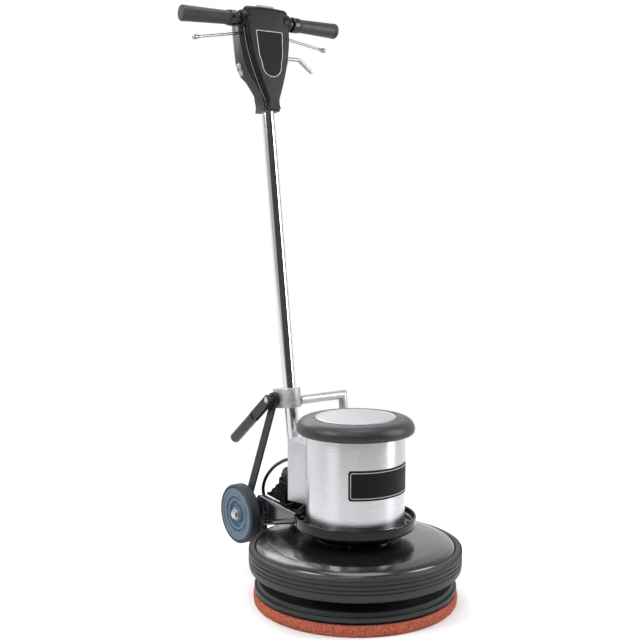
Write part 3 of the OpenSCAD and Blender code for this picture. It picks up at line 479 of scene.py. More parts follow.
def screw_head(r, h, hexed=False):
    """A domed screw head, or a chamfered hex one, standing on z = 0."""
    if hexed:
        ring = [(cosd(60 * k), sind(60 * k)) for k in range(6)]
        steps = [(0.9, 0), (1, 0.12 * h), (1, 0.85 * h), (0.86, h)]
        return loft([[(r * s * x, r * s * y, z) for x, y in ring] for s, z in steps])
    dome = [(r * cosd(t), 0.3 * h + 0.7 * h * sind(t)) for t in range(15, 90, 15)]
    return lathe([(0, 0), (r, 0), (r, 0.3 * h)] + dome + [(0, h)], 28)


# ---- The soft pad, its bristles and the driver ----

random.seed(7)
uniform = random.uniform
_, pad_hi = span("scrub_pad")
pad_r, pad_h = pad_hi.x, pad_hi.z


def fuzzy(profile, n, depth, start):
    """A lathe whose points further out than start are pushed in and out by layered noise."""
    verts, faces = lathe(profile, n)
    out = []
    for x, y, z in verts:
        r = math.hypot(x, y)
        if r > start:
            p = Vector((x, y, z * 2.2))
            waves = ((0.6, 0.16), (0.5, 0.5), (0.35, 1.3))
            push = depth * sum(size * noise.noise(p * pitch) for size, pitch in waves)
            lift = 0.35 * depth * noise.noise(p * 0.4 + Vector((9, 3, 1)))
            x, y = x * (1 + push / r), y * (1 + push / r)
            z = max(0.0, z + (lift if 1 < z < pad_h - 1 else 0))
        out.append((x, y, z))
    return out, faces


side = [(pad_r - 1.2 + 1.1 * math.sin(math.pi * (z - 4) / (pad_h - 6)), z)
        for z in np.linspace(4, pad_h - 2, 15)]
pad_line = ([(0, 0), (pad_r * 0.5, 0), (pad_r - 14, 0)] + arc(pad_r - 6.2, 5, 5, -90, -10, 6) + side
            + arc(pad_r - 3.4, pad_h - 2.2, 2, 20, 90, 4) + [(pad_r - 14, pad_h - 0.2), (0, pad_h - 0.2)])
pad = piece("scrub_pad_web", fuzzy(pad_line, 720, 1.0, pad_r - 13), "pad", "disc", "scrub_pad", angle=80)

# Loose fibres stand out all round the pad's edge
fibres = []
for _ in range(2600):
    a, z = uniform(0, 360), uniform(1.5, pad_h - 1.5)
    lean, lift = uniform(-1.1, 1.1), uniform(-0.8, 0.8)
    length = uniform(1.6, 3.4)
    foot = Vector(((pad_r - 1.6) * cosd(a), (pad_r - 1.6) * sind(a), z))
    out_dir = Vector((foot.x, foot.y, 0)).normalized()
    round_dir = Vector((-out_dir.y, out_dir.x, 0))
    tip = foot + out_dir * length * 0.75 + round_dir * length * lean * 0.8 + Vector((0, 0, length * lift * 0.6))
    tip.z = max(0.4, tip.z)
    mid = (foot + tip) / 2 + out_dir * 0.5
    w = uniform(0.12, 0.2)
    across, down = round_dir * w * 0.87, Vector((0, 0, w / 2))
    ring = [Vector((0, 0, w)), across - down, -across - down]
    fibres.append(loft([[p + q * size for q in ring] for p, size in ((foot, 1), (mid, 0.9), (tip, 0.35))]))
piece("scrub_pad_fibres", join(*fibres), "fibre", "disc")

# Bristles: rings of short leaning tufts between the pad and the driver
grip_lo, grip_hi = span("grip_face")
tufts = []
for r, count in ((grip_hi.x - 1.5, 620), (grip_hi.x - 5, 560), (grip_hi.x - 12, 420), (110, 200), (60, 120)):
    for k in range(count):
        a = 2 * math.pi * (k + uniform(-0.3, 0.3)) / count
        foot = Vector((r * math.cos(a), r * math.sin(a), grip_hi.z - 0.1))
        slant = Vector((uniform(-0.9, 0.9), uniform(-0.9, 0.9), 0))
        tip = Vector((foot.x, foot.y, grip_lo.z - uniform(0.2, 1.2))) + slant
        w = uniform(0.35, 0.55)
        ring = [Vector((w * math.cos(t), w * math.sin(t), 0)) for t in (0, 2.1, 4.2)]
        tufts.append(loft([[foot + q for q in ring], [tip + q * 0.6 for q in ring]]))
piece("bristles", join(*tufts), "bristle", "disc", "grip_face")

# The driver is a block in two steps, with a shallow channel round its top
drv_lo, drv_hi = span("pad_driver")
drv_r, drv_top = drv_hi.x, drv_hi.z
drv_mid = drv_lo.z + (drv_top - drv_lo.z) / 2
hole_r = 30
driver_line = [(hole_r, drv_lo.z), (drv_r, drv_lo.z), (drv_r, drv_mid), (drv_r - 7, drv_mid + 0.6)]
driver_line += offset(drv_r, drv_top, (-8, 0), (-30, 0), (-32, -2))
driver_line += offset(0, drv_top, (110, -2), (108, 0), (hole_r, 0))
piece("driver_block", turned(driver_line, 1.4, 192, 4), "driver", "disc", "pad_driver")

# ---- Deck, bumper, gearcase and tray ----

deck_lo, deck_hi = span("deck")
skirt_r, deck_top = deck_hi.x, deck_hi.z
neck_r, inner_z = 77, 124
deck_line = offset(0, deck_top, (neck_r, -6), (neck_r, 0), (98, 0), (101, -0.8), (150, -2.6), (182, -6),
                   (202, -11), (skirt_r - 0.5, -18))
deck_line += [(skirt_r, deck_lo.z), (skirt_r - 3, deck_lo.z)]
deck_line += [(skirt_r - 3, inner_z - 14), (skirt_r - 14, inner_z - 6), (94, deck_top - 6)]
deck_rounds = [1, 1.5, 1, 1.5, 90, 60, 24, 10, 1, 1, 6, 8, 4]
piece("deck_shell", turned(deck_line, deck_rounds, 256, 6), "deck", "base", "deck")

# The bumper has four grooves round it, and waves by a tenth of a millimetre as moulded rubber does
bump_lo, bump_hi = span("bumper")
b0, b1, out_r = bump_lo.z, bump_hi.z, bump_hi.x
line = [(skirt_r + 0.1, b0 + 2), (out_r - 6, b0), (out_r - 2, b0 + 4), (out_r - 0.6, b0 + 12)]
for z in (b0 + 17, b0 + 25, b0 + 34, b0 + 43):
    line += [(out_r - 0.2, z), (out_r - 2.2, z + 0.8), (out_r - 2.2, z + 2.4), (out_r, z + 3.2)]
line += [(out_r - 1.6, b1 - 14), (out_r - 5, b1 - 7.6), (skirt_r + 0.1, b1 - 6.8)]
verts, faces = turned(line, [0.5, 2, 3, 2] + [0.6] * 16 + [3, 2, 0.5], 360, 4)
waved = []
for x, y, z in verts:
    r = math.hypot(x, y)
    wave = 0.12 * noise.noise(Vector((x * 0.02, y * 0.02, z * 0.9))) if r > out_r - 3 else 0
    waved.append((x + x / r * wave, y + y / r * wave, z))
piece("bumper_band", (waved, faces), "rubber", "base", "bumper", angle=50)

_, tray_hi = span("motor_tray")
tray_r, tray_top = tray_hi.x, tray_hi.z
case_top = 157.9
case_foot = [(18, 88), (45, 88), (45, 104), (66, 112), (66, 121), (92, 121), (92, deck_top - 6.2),
             (neck_r - 0.5, deck_top - 6.2), (neck_r - 0.5, deck_top + 0.2)]
case_neck = rounded([(86, deck_top + 0.2), (86, deck_top + 2.6), (72.5, deck_top + 4.4), (74, 148), (84, 151.2),
                     (104, 152.5), (104, case_top)], [0, 1.6, 3.5, 8, 6, 1.5, 0])
case_line = case_foot + case_neck + [(58, case_top), (58, 137), (18, 137)]
piece("gearcase_neck", lathe(case_line, 192), "tray", "base", "gearcase")

tray_line = [(36, 146), (36, 158), (104, 158), (tray_r - 14, 158.6), (tray_r - 2, 161), (tray_r, 165)]
tray_line += offset(tray_r, tray_top, (0, -1.8), (-0.8, 0), (-3.6, 0), (-4.6, -2))
tray_line += [(tray_r - 5, 172), (tray_r - 9, 170), (26, 170), (26, 146)]
tray_rounds = [0, 0, 2, 4, 3, 3, 1, 1, 1, 1, 3, 3, 0, 0]
piece("tray_ring", turned(tray_line, tray_rounds, 256, 4), "tray", "base", "motor_tray")

# Six bolts on the deck and four in the tray, where the CAD has them
bolt_head = screw_head(6, 4.2, hexed=True)
heads = [moved(bolt_head, turn(45 + 60 * k, "Z") @ at(83, 0, deck_top + 0.2)) for k in range(6)]
heads += [moved(screw_head(6, 4, hexed=True), turn(45 + 90 * k, "Z") @ at(114.5, 0, 170)) for k in range(4)]
piece("deck_screws", join(*heads), "zinc", "base", angle=25)

# ---- Motor ----

shell_lo, shell_hi = span("motor_shell")
shell_r, shell_foot, shell_top = shell_hi.x, shell_lo.z, shell_hi.z - 0.2
shell_line = offset(shell_r, shell_foot, (-1.8, 0), (0.8, 0), (0.8, 4), (0, 6.5))
shell_line += [(shell_r, shell_top), (shell_r - 1.8, shell_top)]
piece("shell_tube", turned(shell_line, [0, 0.8, 1.5, 1.5, 0.4, 0], 256, 4), "shell", "base", "motor_shell")

cap_lo, cap_hi = span("motor_cap")
cap_r, cap_top, cap_z = cap_hi.x, cap_hi.z, cap_lo.z
_, disc_hi = span("cap_disc")
disc_r = disc_hi.x
cap_line = offset(disc_r, cap_top, (-disc_r, -6), (-8, -6), (-6, -1.1), (0.6, -1.1), (1.2, -0.1))
dome_h = cap_top - cap_z - 8.6
cap_line += [(cap_r - 24 + 24 * cosd(a), cap_z + 8 + dome_h * sind(a) ** 0.94) for a in range(84, -1, -6)]
cap_line += [(cap_r - 5 + 5 * cosd(a), cap_z + 8 + 8 * sind(a)) for a in range(-12, -73, -12)]
cap_line += [(cap_r - 6, cap_z + 0.4), (99, cap_z + 0.6), (99, cap_top - 9), (0, cap_top - 9)]
piece("cap_cover", lathe(cap_line, 256), "cap", "base", "motor_cap", angle=40)
disc_edge = rounded([(0, -1), (0, 0.6), (-2, 1.3), (-3.4, 0.5), (-4.8, 1.3)], 0.5, n=4)
disc_line = offset(disc_r, cap_top, (-disc_r, -1), *disc_edge, (-disc_r / 2, 1.6), (-disc_r, 1.7))
piece("cap_plate", lathe(disc_line, 256), "disc", "base", "cap_disc", angle=20)

# The label is blank, with a pale outline
label_lo, label_hi = span("motor_label")
label_mid, label_half = (label_lo.z + label_hi.z) / 2, (label_hi.z - label_lo.z) / 2
label_u = math.radians(46) * shell_r


def plate(half_u, half_w, radius):
    """A rounded rectangle; its point k lies below its point -1 - k."""
    low = arc(-half_u + radius, -half_w + radius, radius, 180, 270, 5)
    low += [(u, -half_w) for u in np.linspace(-half_u + radius, half_u - radius, 24)][1:-1]
    low += arc(half_u - radius, -half_w + radius, radius, -90, 0, 5)
    return low + [(u, -w) for u, w in low[::-1]]


def bent(outline, r):
    """A plane outline wrapped round the shell at radius r."""
    turns = [(u / shell_r - math.pi / 2, w) for u, w in outline]
    return [(r * math.cos(a), r * math.sin(a), label_mid + w) for a, w in turns]


outer = plate(label_u, label_half, 6)
count, half = len(outer), len(outer) // 2
verts = bent(outer, shell_r + 0.1) + bent(outer, shell_r + 1.2)
faces = [(k, (k + 1) % count, count + (k + 1) % count, count + k) for k in range(count)]
for base in (0, count):                        # strips between points at the same place along the plate
    faces += [(base + k, base + k + 1, base + count - 2 - k, base + count - 1 - k) for k in range(half - 1)]
piece("label_plate", (verts, faces), "label", "base", "motor_label")
outer, inner = plate(label_u - 4, label_half - 4, 5), plate(label_u - 5.5, label_half - 5.5, 3.5)
low_r, high_r = shell_r + 1.1, shell_r + 1.45
piece("label_outline", hoop([bent(outer, low_r), bent(outer, high_r), bent(inner, high_r), bent(inner, low_r)]),
      "outline", "base")

# ---- Capacitor box, lead and connector ----

box_lo, box_hi = span("capacitor_box")
box_foot, box_top = box_lo.z, box_hi.z
box_x, corner_y, back_y = box_hi.x, 127, box_hi.y
wall = [(box_x - 14, 78), (box_x, corner_y), (box_x - 8, corner_y + 12), (box_x - 20, back_y)]


def box_outline(grow):
    """Plan of the box, grown outward."""
    half = [(x + grow * (0.7 if y < back_y else 0.3), y + (grow if y > corner_y + 5 else 0)) for x, y in wall]
    return rounded([(-x, y) for x, y in half] + half[::-1], [0, 4, 7, 6, 6, 7, 4, 0], closed=True, n=5)


box_steps = offset(0, box_foot, (-0.6, 0), (0, 0.8))
box_steps += offset(0, box_top, (0, -9.2), (-0.5, -8.8), (-0.5, -8), (0.5, -7.6), (0.5, -1.2), (-0.6, 0))
piece("box_shell", loft([[(x, y, z) for x, y in box_outline(grow)] for grow, z in box_steps]), "satin", "base",
      "capacitor_box", angle=30)
flanges, box_screws = [], []
for a0, a1, screw_a in ((125, 138, 133), (42, 55, 47)):
    edge = [(shell_r + 0.05, t) for t in np.linspace(a0, a1, 8)]
    edge += [(shell_r + 1.7, t) for t in np.linspace(a1, a0, 8)]
    flanges.append(prism([(r * cosd(t), r * sind(t)) for r, t in edge], box_foot + 3, box_top - 4))
    for z in (box_foot + 26, (box_foot + box_top) / 2, box_top - 26):
        box_screws.append(moved(screw_head(3.4, 2), turn(screw_a, "Z") @ at(shell_r + 1.6, 0, z) @ ALONG_X))
piece("box_flanges", join(*flanges), "satin", "base", bevel=0.3, segments=2)
piece("box_screws", join(*box_screws), "zinc", "base", "base_screws")

# The lead leaves the box, hangs in an arc and comes back in to the connector
lead_x, lead_r = -55, 3.75
route = [(150, 278), (166, 277.4), (184, 272), (202, 263), (220, 253), (236, 241), (251, 227),
         (263, 212), (270, 197), (271, 183), (266, 171), (256, 162), (243, 158), (233, 158)]
lead = sweep(curved([(lead_x, y, z) for y, z in route]), lead_r, 20, domed=False)
piece("motor_lead_line", lead, "gloss", "base", "motor_lead")
gland_line = [(3.8, 0), (7.6, 0), (8.2, 1), (8.2, 4), (6.6, 5), (6.6, 7), (5.4, 14), (4.0, 14.5)]
gland = join(turned(gland_line, 0.5, 32), screw_head(9.5, 4, hexed=True))
socket = turned([(4.0, 0), (7.4, 0), (7.4, 22), (6.4, 24), (4.0, 24)], 0.7, 32)
(_, exit_z), (end_y, end_z) = route[0], route[-1]
glands = join(moved(gland, at(lead_x, back_y, exit_z) @ ALONG_Y),
              moved(socket, at(lead_x, end_y - 9, end_z) @ ALONG_Y))
piece("lead_glands", glands, "gloss", "base", "lead_gland", angle=30)
plug = [(196, 168), (196, 192), (190, 198), (187, 226), (186, 250), (192, 254), (201, 250), (207, 243),
        (212, 229), (220, 224), (222, 210), (232, 206), (238, 198), (248, 193), (254, 184), (270, 180),
        (272, 174), (226, 170)]
ribs = [prism(rounded(rect(y0, z0, y1, z0 + 5), 1.5, closed=True), -48, -23, "X")
        for y0, y1, z0 in ((188, 216, 213.5), (206, 238, 187.5), (188, 210, 231))]
piece("connector", join(prism(rounded(plug, 2.2, closed=True, n=4), -46, -25, "X"), *ribs), "gloss", "base",
      "lead_connector", bevel=1.4)

# ---- Yoke, axle and wheels ----

_, arm_hi = span("left_arm")
cross_y, cross_z = pivot.y, pivot.z
wheel_lo, wheel_hi = span("left_tyre")
axle_y, axle_z = (wheel_lo.y + wheel_hi.y) / 2, (wheel_lo.z + wheel_hi.z) / 2
arm_x, arm_y, axle_in, arm_top = 101, 79, 77, arm_hi.z
toe = math.degrees(math.atan((arm_x - axle_in) / (axle_y - arm_y)))
ARM = at(-arm_x, arm_y, 0) @ turn(-toe, "Z") @ at(0, -arm_y, 0)
arm_line = [(64, 166), (90, 161), (207, 130), (214, 124), (216, 92), (228, 82), (244, 82), (262, 100),
            (284, 120), (300, 130), (300, 148), (266, 166), (248, 184), (232, arm_top), (64, arm_top)]
arm_rounds = [0, 8, 6, 6, 8, 8, 8, 10, 8, 7, 12, 8, 10, 8, 0]
arm_plate = prism(rounded(arm_line, arm_rounds, closed=True), -3.5, 3.5, "X")
arm_flange = prism(rounded(rect(-9, arm_top - 9, 9, arm_top), 3.4, closed=True), 64, 228, "Y")
arm_rod = sweep([(-4, 70, 170), (-4, 208, 131.5)], 6.2)
arm_rib = prism(rounded([(110, 158), (200, 134), (200, 140), (110, 164)], 2, closed=True), -6.5, -3, "X")
arm = join(*[moved(shape, ARM) for shape in (arm_plate, arm_flange, arm_rod, arm_rib)],
           moved(turned(rect(7.9, 0, 17, 14), 1.2, 48), at(-82, axle_y, axle_z) @ ALONG_X),
           moved(turned(rect(11.9, 0, 18, 12), 1.5, 48), at(-91, cross_y, cross_z) @ ALONG_X))
piece("arm_left", arm, "black", "base", "left_arm", bevel=1.0)
piece("arm_right", mirrored(arm), "black", "base", "right_arm", bevel=1.0)
cross = turned(rect(9, -91.4, 12, 91.4), 0.8, 48)
piece("cross_bar", moved(cross, at(0, cross_y, cross_z) @ ALONG_X), "black", "base", "cross_tube")

wheel_r = (wheel_hi.z - wheel_lo.z) / 2
wheel_w = wheel_hi.x - wheel_lo.x
rim_r, bore_r = wheel_r - 8, 8.1
core_back = [(bore_r, 1), (20, 1), (22, 6), (46, 6), (48, 1), (rim_r - 0.2, 1)]
core_face = [(rim_r - 0.2, -0.4), (rim_r - 5, -0.2), (rim_r - 6.4, -2.4), (46, -2.6), (44.4, -0.6),
             (41.2, -0.6), (39.6, -5.6), (37.2, -5.8), (35.2, -2.2), (30.5, -2.2), (28.5, -9.8), (20, -10),
             (17.6, -3.6), (15.6, -0.8), (13, 0), (bore_r, 0)]
core_line = offset(0, -wheel_w, *core_back) + core_face
tyre_line = [(rim_r, -wheel_w)] + arc(wheel_r - 4.4, -wheel_w + 4.4, 4.4, -90, 0, 5)
tyre_line += arc(wheel_r - 4.4, -4.4, 4.4, 0, 90, 5)
tyre_line += rounded([(rim_r + 2.2, 0), (rim_r + 1.4, -0.9), (rim_r, -0.9)], 0.3)
nut_shape = join(turned(rect(bore_r, 0, 12, 1.5), 0.4, 40),
                 moved(screw_head(10.2, 5.4, hexed=True), at(0, 0, 1.5)),
                 moved(screw_head(7.2, 4), at(0, 0, 5.2)))
core = turned(core_line, 0.9, 128, 4)
for name, sign, facing in (("left", -1, turn(-90, "Y")), ("right", 1, ALONG_X)):
    hub = at(sign * max(abs(wheel_lo.x), abs(wheel_hi.x)), axle_y, axle_z) @ facing
    body = "wheel_" + name
    piece(f"{name}_wheel_core", moved(core, hub), "wheel", body, f"{name}_wheel", angle=28)
    piece(f"{name}_tyre_ring", moved(lathe(tyre_line, 160), hub), "tyre", body, f"{name}_tyre", angle=40)
    piece(f"{name}_hub_nut", moved(nut_shape, hub @ at(0, 0, 0.1)), "brass", "base",
          "axle_nuts" if sign < 0 else (), angle=28)
spacers = [turned(rect(bore_r, a, 12, b), 0.4, 40) for a, b in ((-93.3, -92.7), (-87.3, -82.1), (82.1, 93.3))]
piece("axle_spacers", moved(join(*spacers), at(0, axle_y, axle_z) @ ALONG_X), "steel", "base")

# ---- Handle tube and bar, in the handle's own frame ----

_, tube_hi = span("handle_tube", HANDLE)
tube_r, tube_top = tube_hi.x, tube_hi.z
tube = lathe(rect(tube_r - 1.8, 12, tube_r, tube_top), 96)
piece("tube_polished", tube, "chrome", "handle", "handle_tube", HANDLE)
sock = join(moved(turned(rect(12.1, -20, 20, 20), 1.6, 64), ALONG_X),
            lathe([(0, 10), (13.1, 10), (13.1, 69), (12, 70), (0, 70)], 48),
            turned([(15.2, 14), (18.2, 14), (18.2, 30), (16.6, 33), (15.2, 33)], 0.8, 64))
piece("tube_socket", sock, "black", "handle", "handle_socket", HANDLE)

# The bar bends back a little at bend_x on each side
bar_lo, bar_hi = span("handlebar", HANDLE)
bar_h = (bar_lo.z + bar_hi.z) / 2
bar_y, bar_r, bar_end, bend_x, bend_a, grip_in = -12, 12.5, 209, 66, 3.6, 95
BAR = at(0, bar_y, bar_h)
BEND = at(bend_x) @ turn(bend_a, "Z")
ALONG_BEND = BEND @ at(-bend_x) @ ALONG_X
past = bar_end - 5 - bend_x
bend = [(0, 0, 0), (bend_x, 0, 0), (bend_x + past * cosd(bend_a), past * sind(bend_a), 0)]
collar_line = [(bar_r, 75), (16.6, 75), (18, 77.5), (18, 90), (16.2, 92.3), (bar_r, 92.3)]
bars = join(sweep(rounded(bend, 40, n=6), bar_r, 40, domed=False),
            moved(turned(collar_line, 1.2, 64), ALONG_BEND),
            moved(screw_head(3, 1.8), BEND @ at(16, -16.8, 0) @ turn(90, "X")))
piece("bar", moved(both(bars), BAR), "gloss", "handle", "handlebar", HANDLE, angle=40)
grip_line = offset(0, grip_in, (bar_r + 0.05, -2.5), (15.8, -2.4), (16.8, -1), (16.8, 1.4), (15.2, 2.4),
                   (15.3, 11))
grip_line += offset(0, bar_end, (17.3, -12.5), (16.6, -11.4), (16.6, -9.4), (17.8, -8.4), (17.6, -1.2),
                    (14.6, 0), (0, 0.1))
grip_line = rounded(grip_line, [0, 2, 2.4, 2.4, 1.5, 3, 1, 0.8, 0.8, 1, 3, 1, 0], n=4)
grip_line += [(0, bar_end - 3), (bar_r + 0.05, bar_end - 3)]
grip = moved(lathe(grip_line, 96), ALONG_BEND)
piece("grips", moved(both(grip), BAR), "grip", "handle", "handle_grips", HANDLE, angle=40)

# ---- Control head ----

front_lo, front_hi = span("head_front", HANDLE)
_, rear_hi = span("head_rear", HANDLE)
neck_z, top_z = front_lo.z, front_hi.z
face_y, back_face = front_lo.y + 3, rear_hi.y
front_d = 12                                   # from the face back to the lip
ridge_y = face_y + front_d
neck_w, head_w = 20, 60
shoulder_z, wide_z = neck_z + 25, bar_h - 13


def half_width(h):
    """Half the width of the head at height h."""
    if h < shoulder_z:
        return neck_w - 2.6 * math.sin(math.pi * min(1, (h - neck_z) / 25)) if h > neck_z else neck_w
    if h < wide_z:
        rise = (h - shoulder_z) / (wide_z - shoulder_z)
        return neck_w + (head_w - neck_w) * math.sin(math.pi / 2 * rise) ** 0.93
    return head_w - 2 * ((h - wide_z) / (top_z - wide_z)) ** 2


def head_outline(m):
    """The head seen from the front, drawn in by m: up its right side, over the crown and down its left."""
    foot, corner = neck_z + 0.25 * m, max(3.0, 12 - 0.55 * m)
    heights = [*np.linspace(foot, shoulder_z, 7), *np.linspace(shoulder_z, top_z - m - corner, 34)[1:]]
    right = [(half_width(h) - m, h) for h in heights]
    x, h = right[-1]
    right += arc(x - corner, h, corner, 0, 90)[1:]
    x, h = right[-1]
    right += [(x * s, h + 1.8 * (1 - s * s)) for s in (0.75, 0.5, 0.25)]
    return [(0, foot)] + right + [(0, right[-1][1] + 0.12)] + [(-x, h) for x, h in right[::-1]]


def seam(h):
    """Depth of the seam between the two housings; it comes forward at the neck."""
    return float(np.interp(h, [shoulder_z + 8, shoulder_z + 66], [ridge_y + 0.4, ridge_y + 20]))


# Front housing: a glossy flange from the seam, a raised lip, then a round edge into the flat face.
# Each step is (how far it is drawn in, how far it stands ahead of the seam or the lip).
edge_w, edge_d = 7.0, 6.0
flange = [(3.4, 0.0), (1.6, 0.1), (1.2, 0.3)]
front_edge = front_d - edge_d
lip = [(1.3, -0.05), (0.2, 0.5), (0, 1.0), (0, 2.2), (0.5, 2.8), (1.7, 3.2), (1.9, 4.2), (2.2, front_edge)]
lip += [(2.2 + edge_w * (1 - cosd(a)), front_edge + edge_d * sind(a)) for a in (8, 20, 32, 44, 56, 68, 79, 90)]
lip.append((5.2 + edge_w, front_d))
rings = []
for k, (m, ahead) in enumerate(flange + lip):
    ring = []
    for x, h in head_outline(m):
        near = max(0.0, min(1.0, (shoulder_z + 18 - h) / 30))
        wider = 0.62 * near * max(0.0, m - 2.0)                   # the neck has a tighter edge
        start = seam(h) if k < len(flange) else ridge_y
        ring.append((x + math.copysign(wider, x) if abs(x) > 1e-6 else x, start - ahead, h))
    rings.append(ring)
ear_line = [(12.6, 44), (21.5, 44), (21.5, 55), (19.4, 63), (18, 66), (12.6, 66)]
ear = moved(turned(ear_line, [0, 0, 6, 3, 1, 0], 72, 4), BAR @ ALONG_X)
front_shape = join(loft(rings), both(ear))
front = piece("head_front_shell", front_shape, "head", "handle", "head_front", HANDLE, angle=38)

# Its sides and the flange behind its lip are painted darker than its face as painted shade, and its lip carries
# a pale painted highlight
# Slot 1: the darker painted shade on the sides and flange
front.data.materials.append(M["side"])
# Slot 2: the pale painted highlight along the lip
front.data.materials.append(M["lip_highlight"])
to_handle = HANDLE.inverted()
for face in front.data.polygons:
    c = to_handle @ (face.center * 1000)
    n = to_handle.to_3x3() @ face.normal
    if 10 < abs(c.x) < 60.5 and n.y > -0.45 and c.z < top_z - 14:
        face.material_index = 2 if 0 < ridge_y - c.y < 2.4 and abs(n.x) > 0.3 else 1


def rear_back(h):
    """Depth of the rear housing at height h; its lower side is hollowed above the neck."""
    pts = [(neck_z - 3, 20)] + offset(shoulder_z, 0, (8, 20.5), (24, 26), (44, 33), (60, 47), (74, 50))
    pts.append((bar_h - 18, back_face))
    pts += offset(top_z, back_face, (-24, -0.5), (-12, -4), (-5, -11), (-1.6, -20), (0, -32))
    return float(np.interp(h, *zip(*pts)))


def rear_section(h):
    """One level ring of the rear housing, from the seam round the back."""
    neck = max(0.0, min(1.0, (shoulder_z + 12 - h) / 14))
    w0 = half_width(h) - 0.6 + neck * 3.4
    depth = rear_back(h)
    w1 = min(w0, 50.0 if h > shoulder_z + 60 else 99.0) - 0.055 * depth * (w0 / head_w) * (1 - neck)
    if h > top_z - 12:
        drop = 11 * (1 - math.sqrt(max(0.0, 1 - ((h - top_z + 12) / 12) ** 2)))
        w0, w1 = w0 - drop, w1 - drop
    r = min(9.0 - 5 * neck, 0.45 * depth, 0.6 * w1)
    y0 = seam(h) + 1.3
    mid_y, mid_w = y0 + min(24.0, 0.55 * depth), w0 + (w1 - w0) * 0.6
    pts = [(w0, y0), (mid_w, mid_y), (w1, depth), (-w1, depth), (-mid_w, mid_y), (-w0, y0)]
    return [(x, y, h) for x, y in rounded(pts, [1.2, 14, r, r, 14, 1.2], closed=True, n=6)]


levels = [*np.linspace(neck_z - 3, shoulder_z + 14, 8), *np.linspace(shoulder_z + 20, top_z - 26, 26)]
levels += [top_z - q for q in (22, 18, 14, 11, 8.5, 6, 4, 2.4, 1.3, 0.7)]
rear = loft([rear_section(h) for h in levels])
piece("head_rear_shell", rear, "rear", "handle", "head_rear", HANDLE, angle=42)

panel_lo, panel_hi = span("name_panel", HANDLE)


def shield(grow):
    """Outline of the blank shield: straight sides that run in to a round foot."""
    r, w, top, low = 25 + grow, panel_hi.x + grow, panel_hi.z + grow, panel_lo.z + 25
    right = arc(w - 3, top - 3, 3, 90, 0, 4)
    right += rounded([(w, top), (w - 3.5, panel_lo.z + 48), (r + 2, low + 8)], 14)[1:]
    right += [(r * cosd(a) * 1.02, low + r * sind(a)) for a in range(0, -91, -10)]
    return right + [(-x, h) for x, h in right[-2::-1]]


panel = prism(shield(-0.4), face_y - 0.9, face_y + 0.3, "Y")
piece("shield_panel", panel, "label", "handle", "name_panel", HANDLE, bevel=0.3, segments=2)
frame_steps = ((0.5, -1.15), (0.5, 0.3), (-1.0, 0.3), (-1.0, -1.15))
panel_frame = hoop([[(x, face_y + y, h) for x, h in shield(grow)] for grow, y in frame_steps])
piece("shield_outline", panel_frame, "outline", "handle", (), HANDLE, angle=30)

screws = [moved(screw_head(4.6, 2.4), at(x, rear_back(h) - 0.4, h) @ ALONG_Y)
          for half, h in ((26, bar_h - 40), (22, shoulder_z + 84)) for x in (-half, half)]
piece("head_screws_seen", join(*screws), "steel", "handle", "head_screws", HANDLE)

# The cord gland is a sloping strap with two round lobes on it
gland_lo, gland_hi = span("cord_gland", HANDLE)
gland_c = (gland_lo + gland_hi) / 2
lobe_line = [(0, 0), (7.4, 0), (7.6, 2.5), (6.2, 4.6), (5.2, 7.2), (0, 7.6)]
lobe = lathe(rounded(lobe_line, [0, 0.5, 1.5, 1.5, 1.8, 0], n=4), 40)
strap = prism(rounded(rect(-15, -4.5, 15, 4.5), 4, closed=True), 0, 3.4)
saddle = join(moved(lobe, at(-8)), moved(lobe, at(8)), strap)
SADDLE = at(gland_hi.x - 4.6, gland_c.y - 4, gland_c.z + 0.6) @ turn(-106, "Y")
piece("cord_saddle", moved(saddle, SADDLE), "pipe", "handle", "cord_gland", HANDLE, bevel=0.4, segments=2)

btn_lo, btn_hi = span("interlock_button", HANDLE)
button_line = rounded(rect(-btn_hi.x, btn_lo.z, btn_hi.x, btn_hi.z), [0.5, 0.5, 3, 3], closed=True)
button = prism(button_line, btn_lo.y, btn_hi.y, "Y")
piece("button_cap", button, "button", "button", "interlock_button", HANDLE, bevel=1.2)

# ---- Levers and hooks ----

lever_lo, lever_hi = span("right_lever", HANDLE)
lever_y = (lever_lo.y + lever_hi.y) / 2
root = Vector((40, lever_y, bar_h - 25))
tip = Vector((lever_hi.x - 6, lever_y, lever_lo.z + 6))
rod_path = [root + (tip - root) * s for s in (0.04, 0.3, 0.85, 0.93, 0.965)] + [tip]
lever = join(sweep(rod_path, [3.4, 3.3, 3.1, 3.6, 5.4, 5.9], 28),
             moved(turned(rect(3.1, -3.5, 7, 3.5), 0.8, 40), at(*root) @ ALONG_Y))
piece("right_lever_rod", lever, "rod", "lever_right", "right_lever", HANDLE, angle=60)
piece("left_lever_rod", mirrored(lever), "rod", "lever_left", "left_lever", HANDLE, angle=60)

hook_lo, hook_hi = span("upper_hook", HANDLE)
hook_y, hook_h = (hook_lo.y + hook_hi.y) / 2, bar_h - 74
corner_x, reach, fall = 105, 42, 38
hook_path = rounded([(39, hook_y, hook_h), (corner_x, hook_y, hook_h),
                     (corner_x + reach * cosd(fall), hook_y, hook_h - reach * sind(fall))], 13, n=10)
hook = join(sweep(hook_path, 4.6, 28), sweep([(72, hook_y, hook_h - 2), (72, hook_y, hook_h - 10)], 2.8, 16),
            moved(turned(rect(4.4, 61, 6.6, 64), 0.6, 32), at(0, hook_y, hook_h) @ ALONG_X))
piece("cord_hook_upper", hook, "rod", "hook", "upper_hook", HANDLE, angle=50)

# ---- Clamp, cam lever and strut ----

clamp_lo, clamp_hi = span("handle_clamp", HANDLE)
clamp_z, clamp_half = (clamp_lo.z + clamp_hi.z) / 2, (clamp_hi.z - clamp_lo.z) / 2
bolt_start = span("clamp_bolt", HANDLE)[0].x
bolt_y = 22


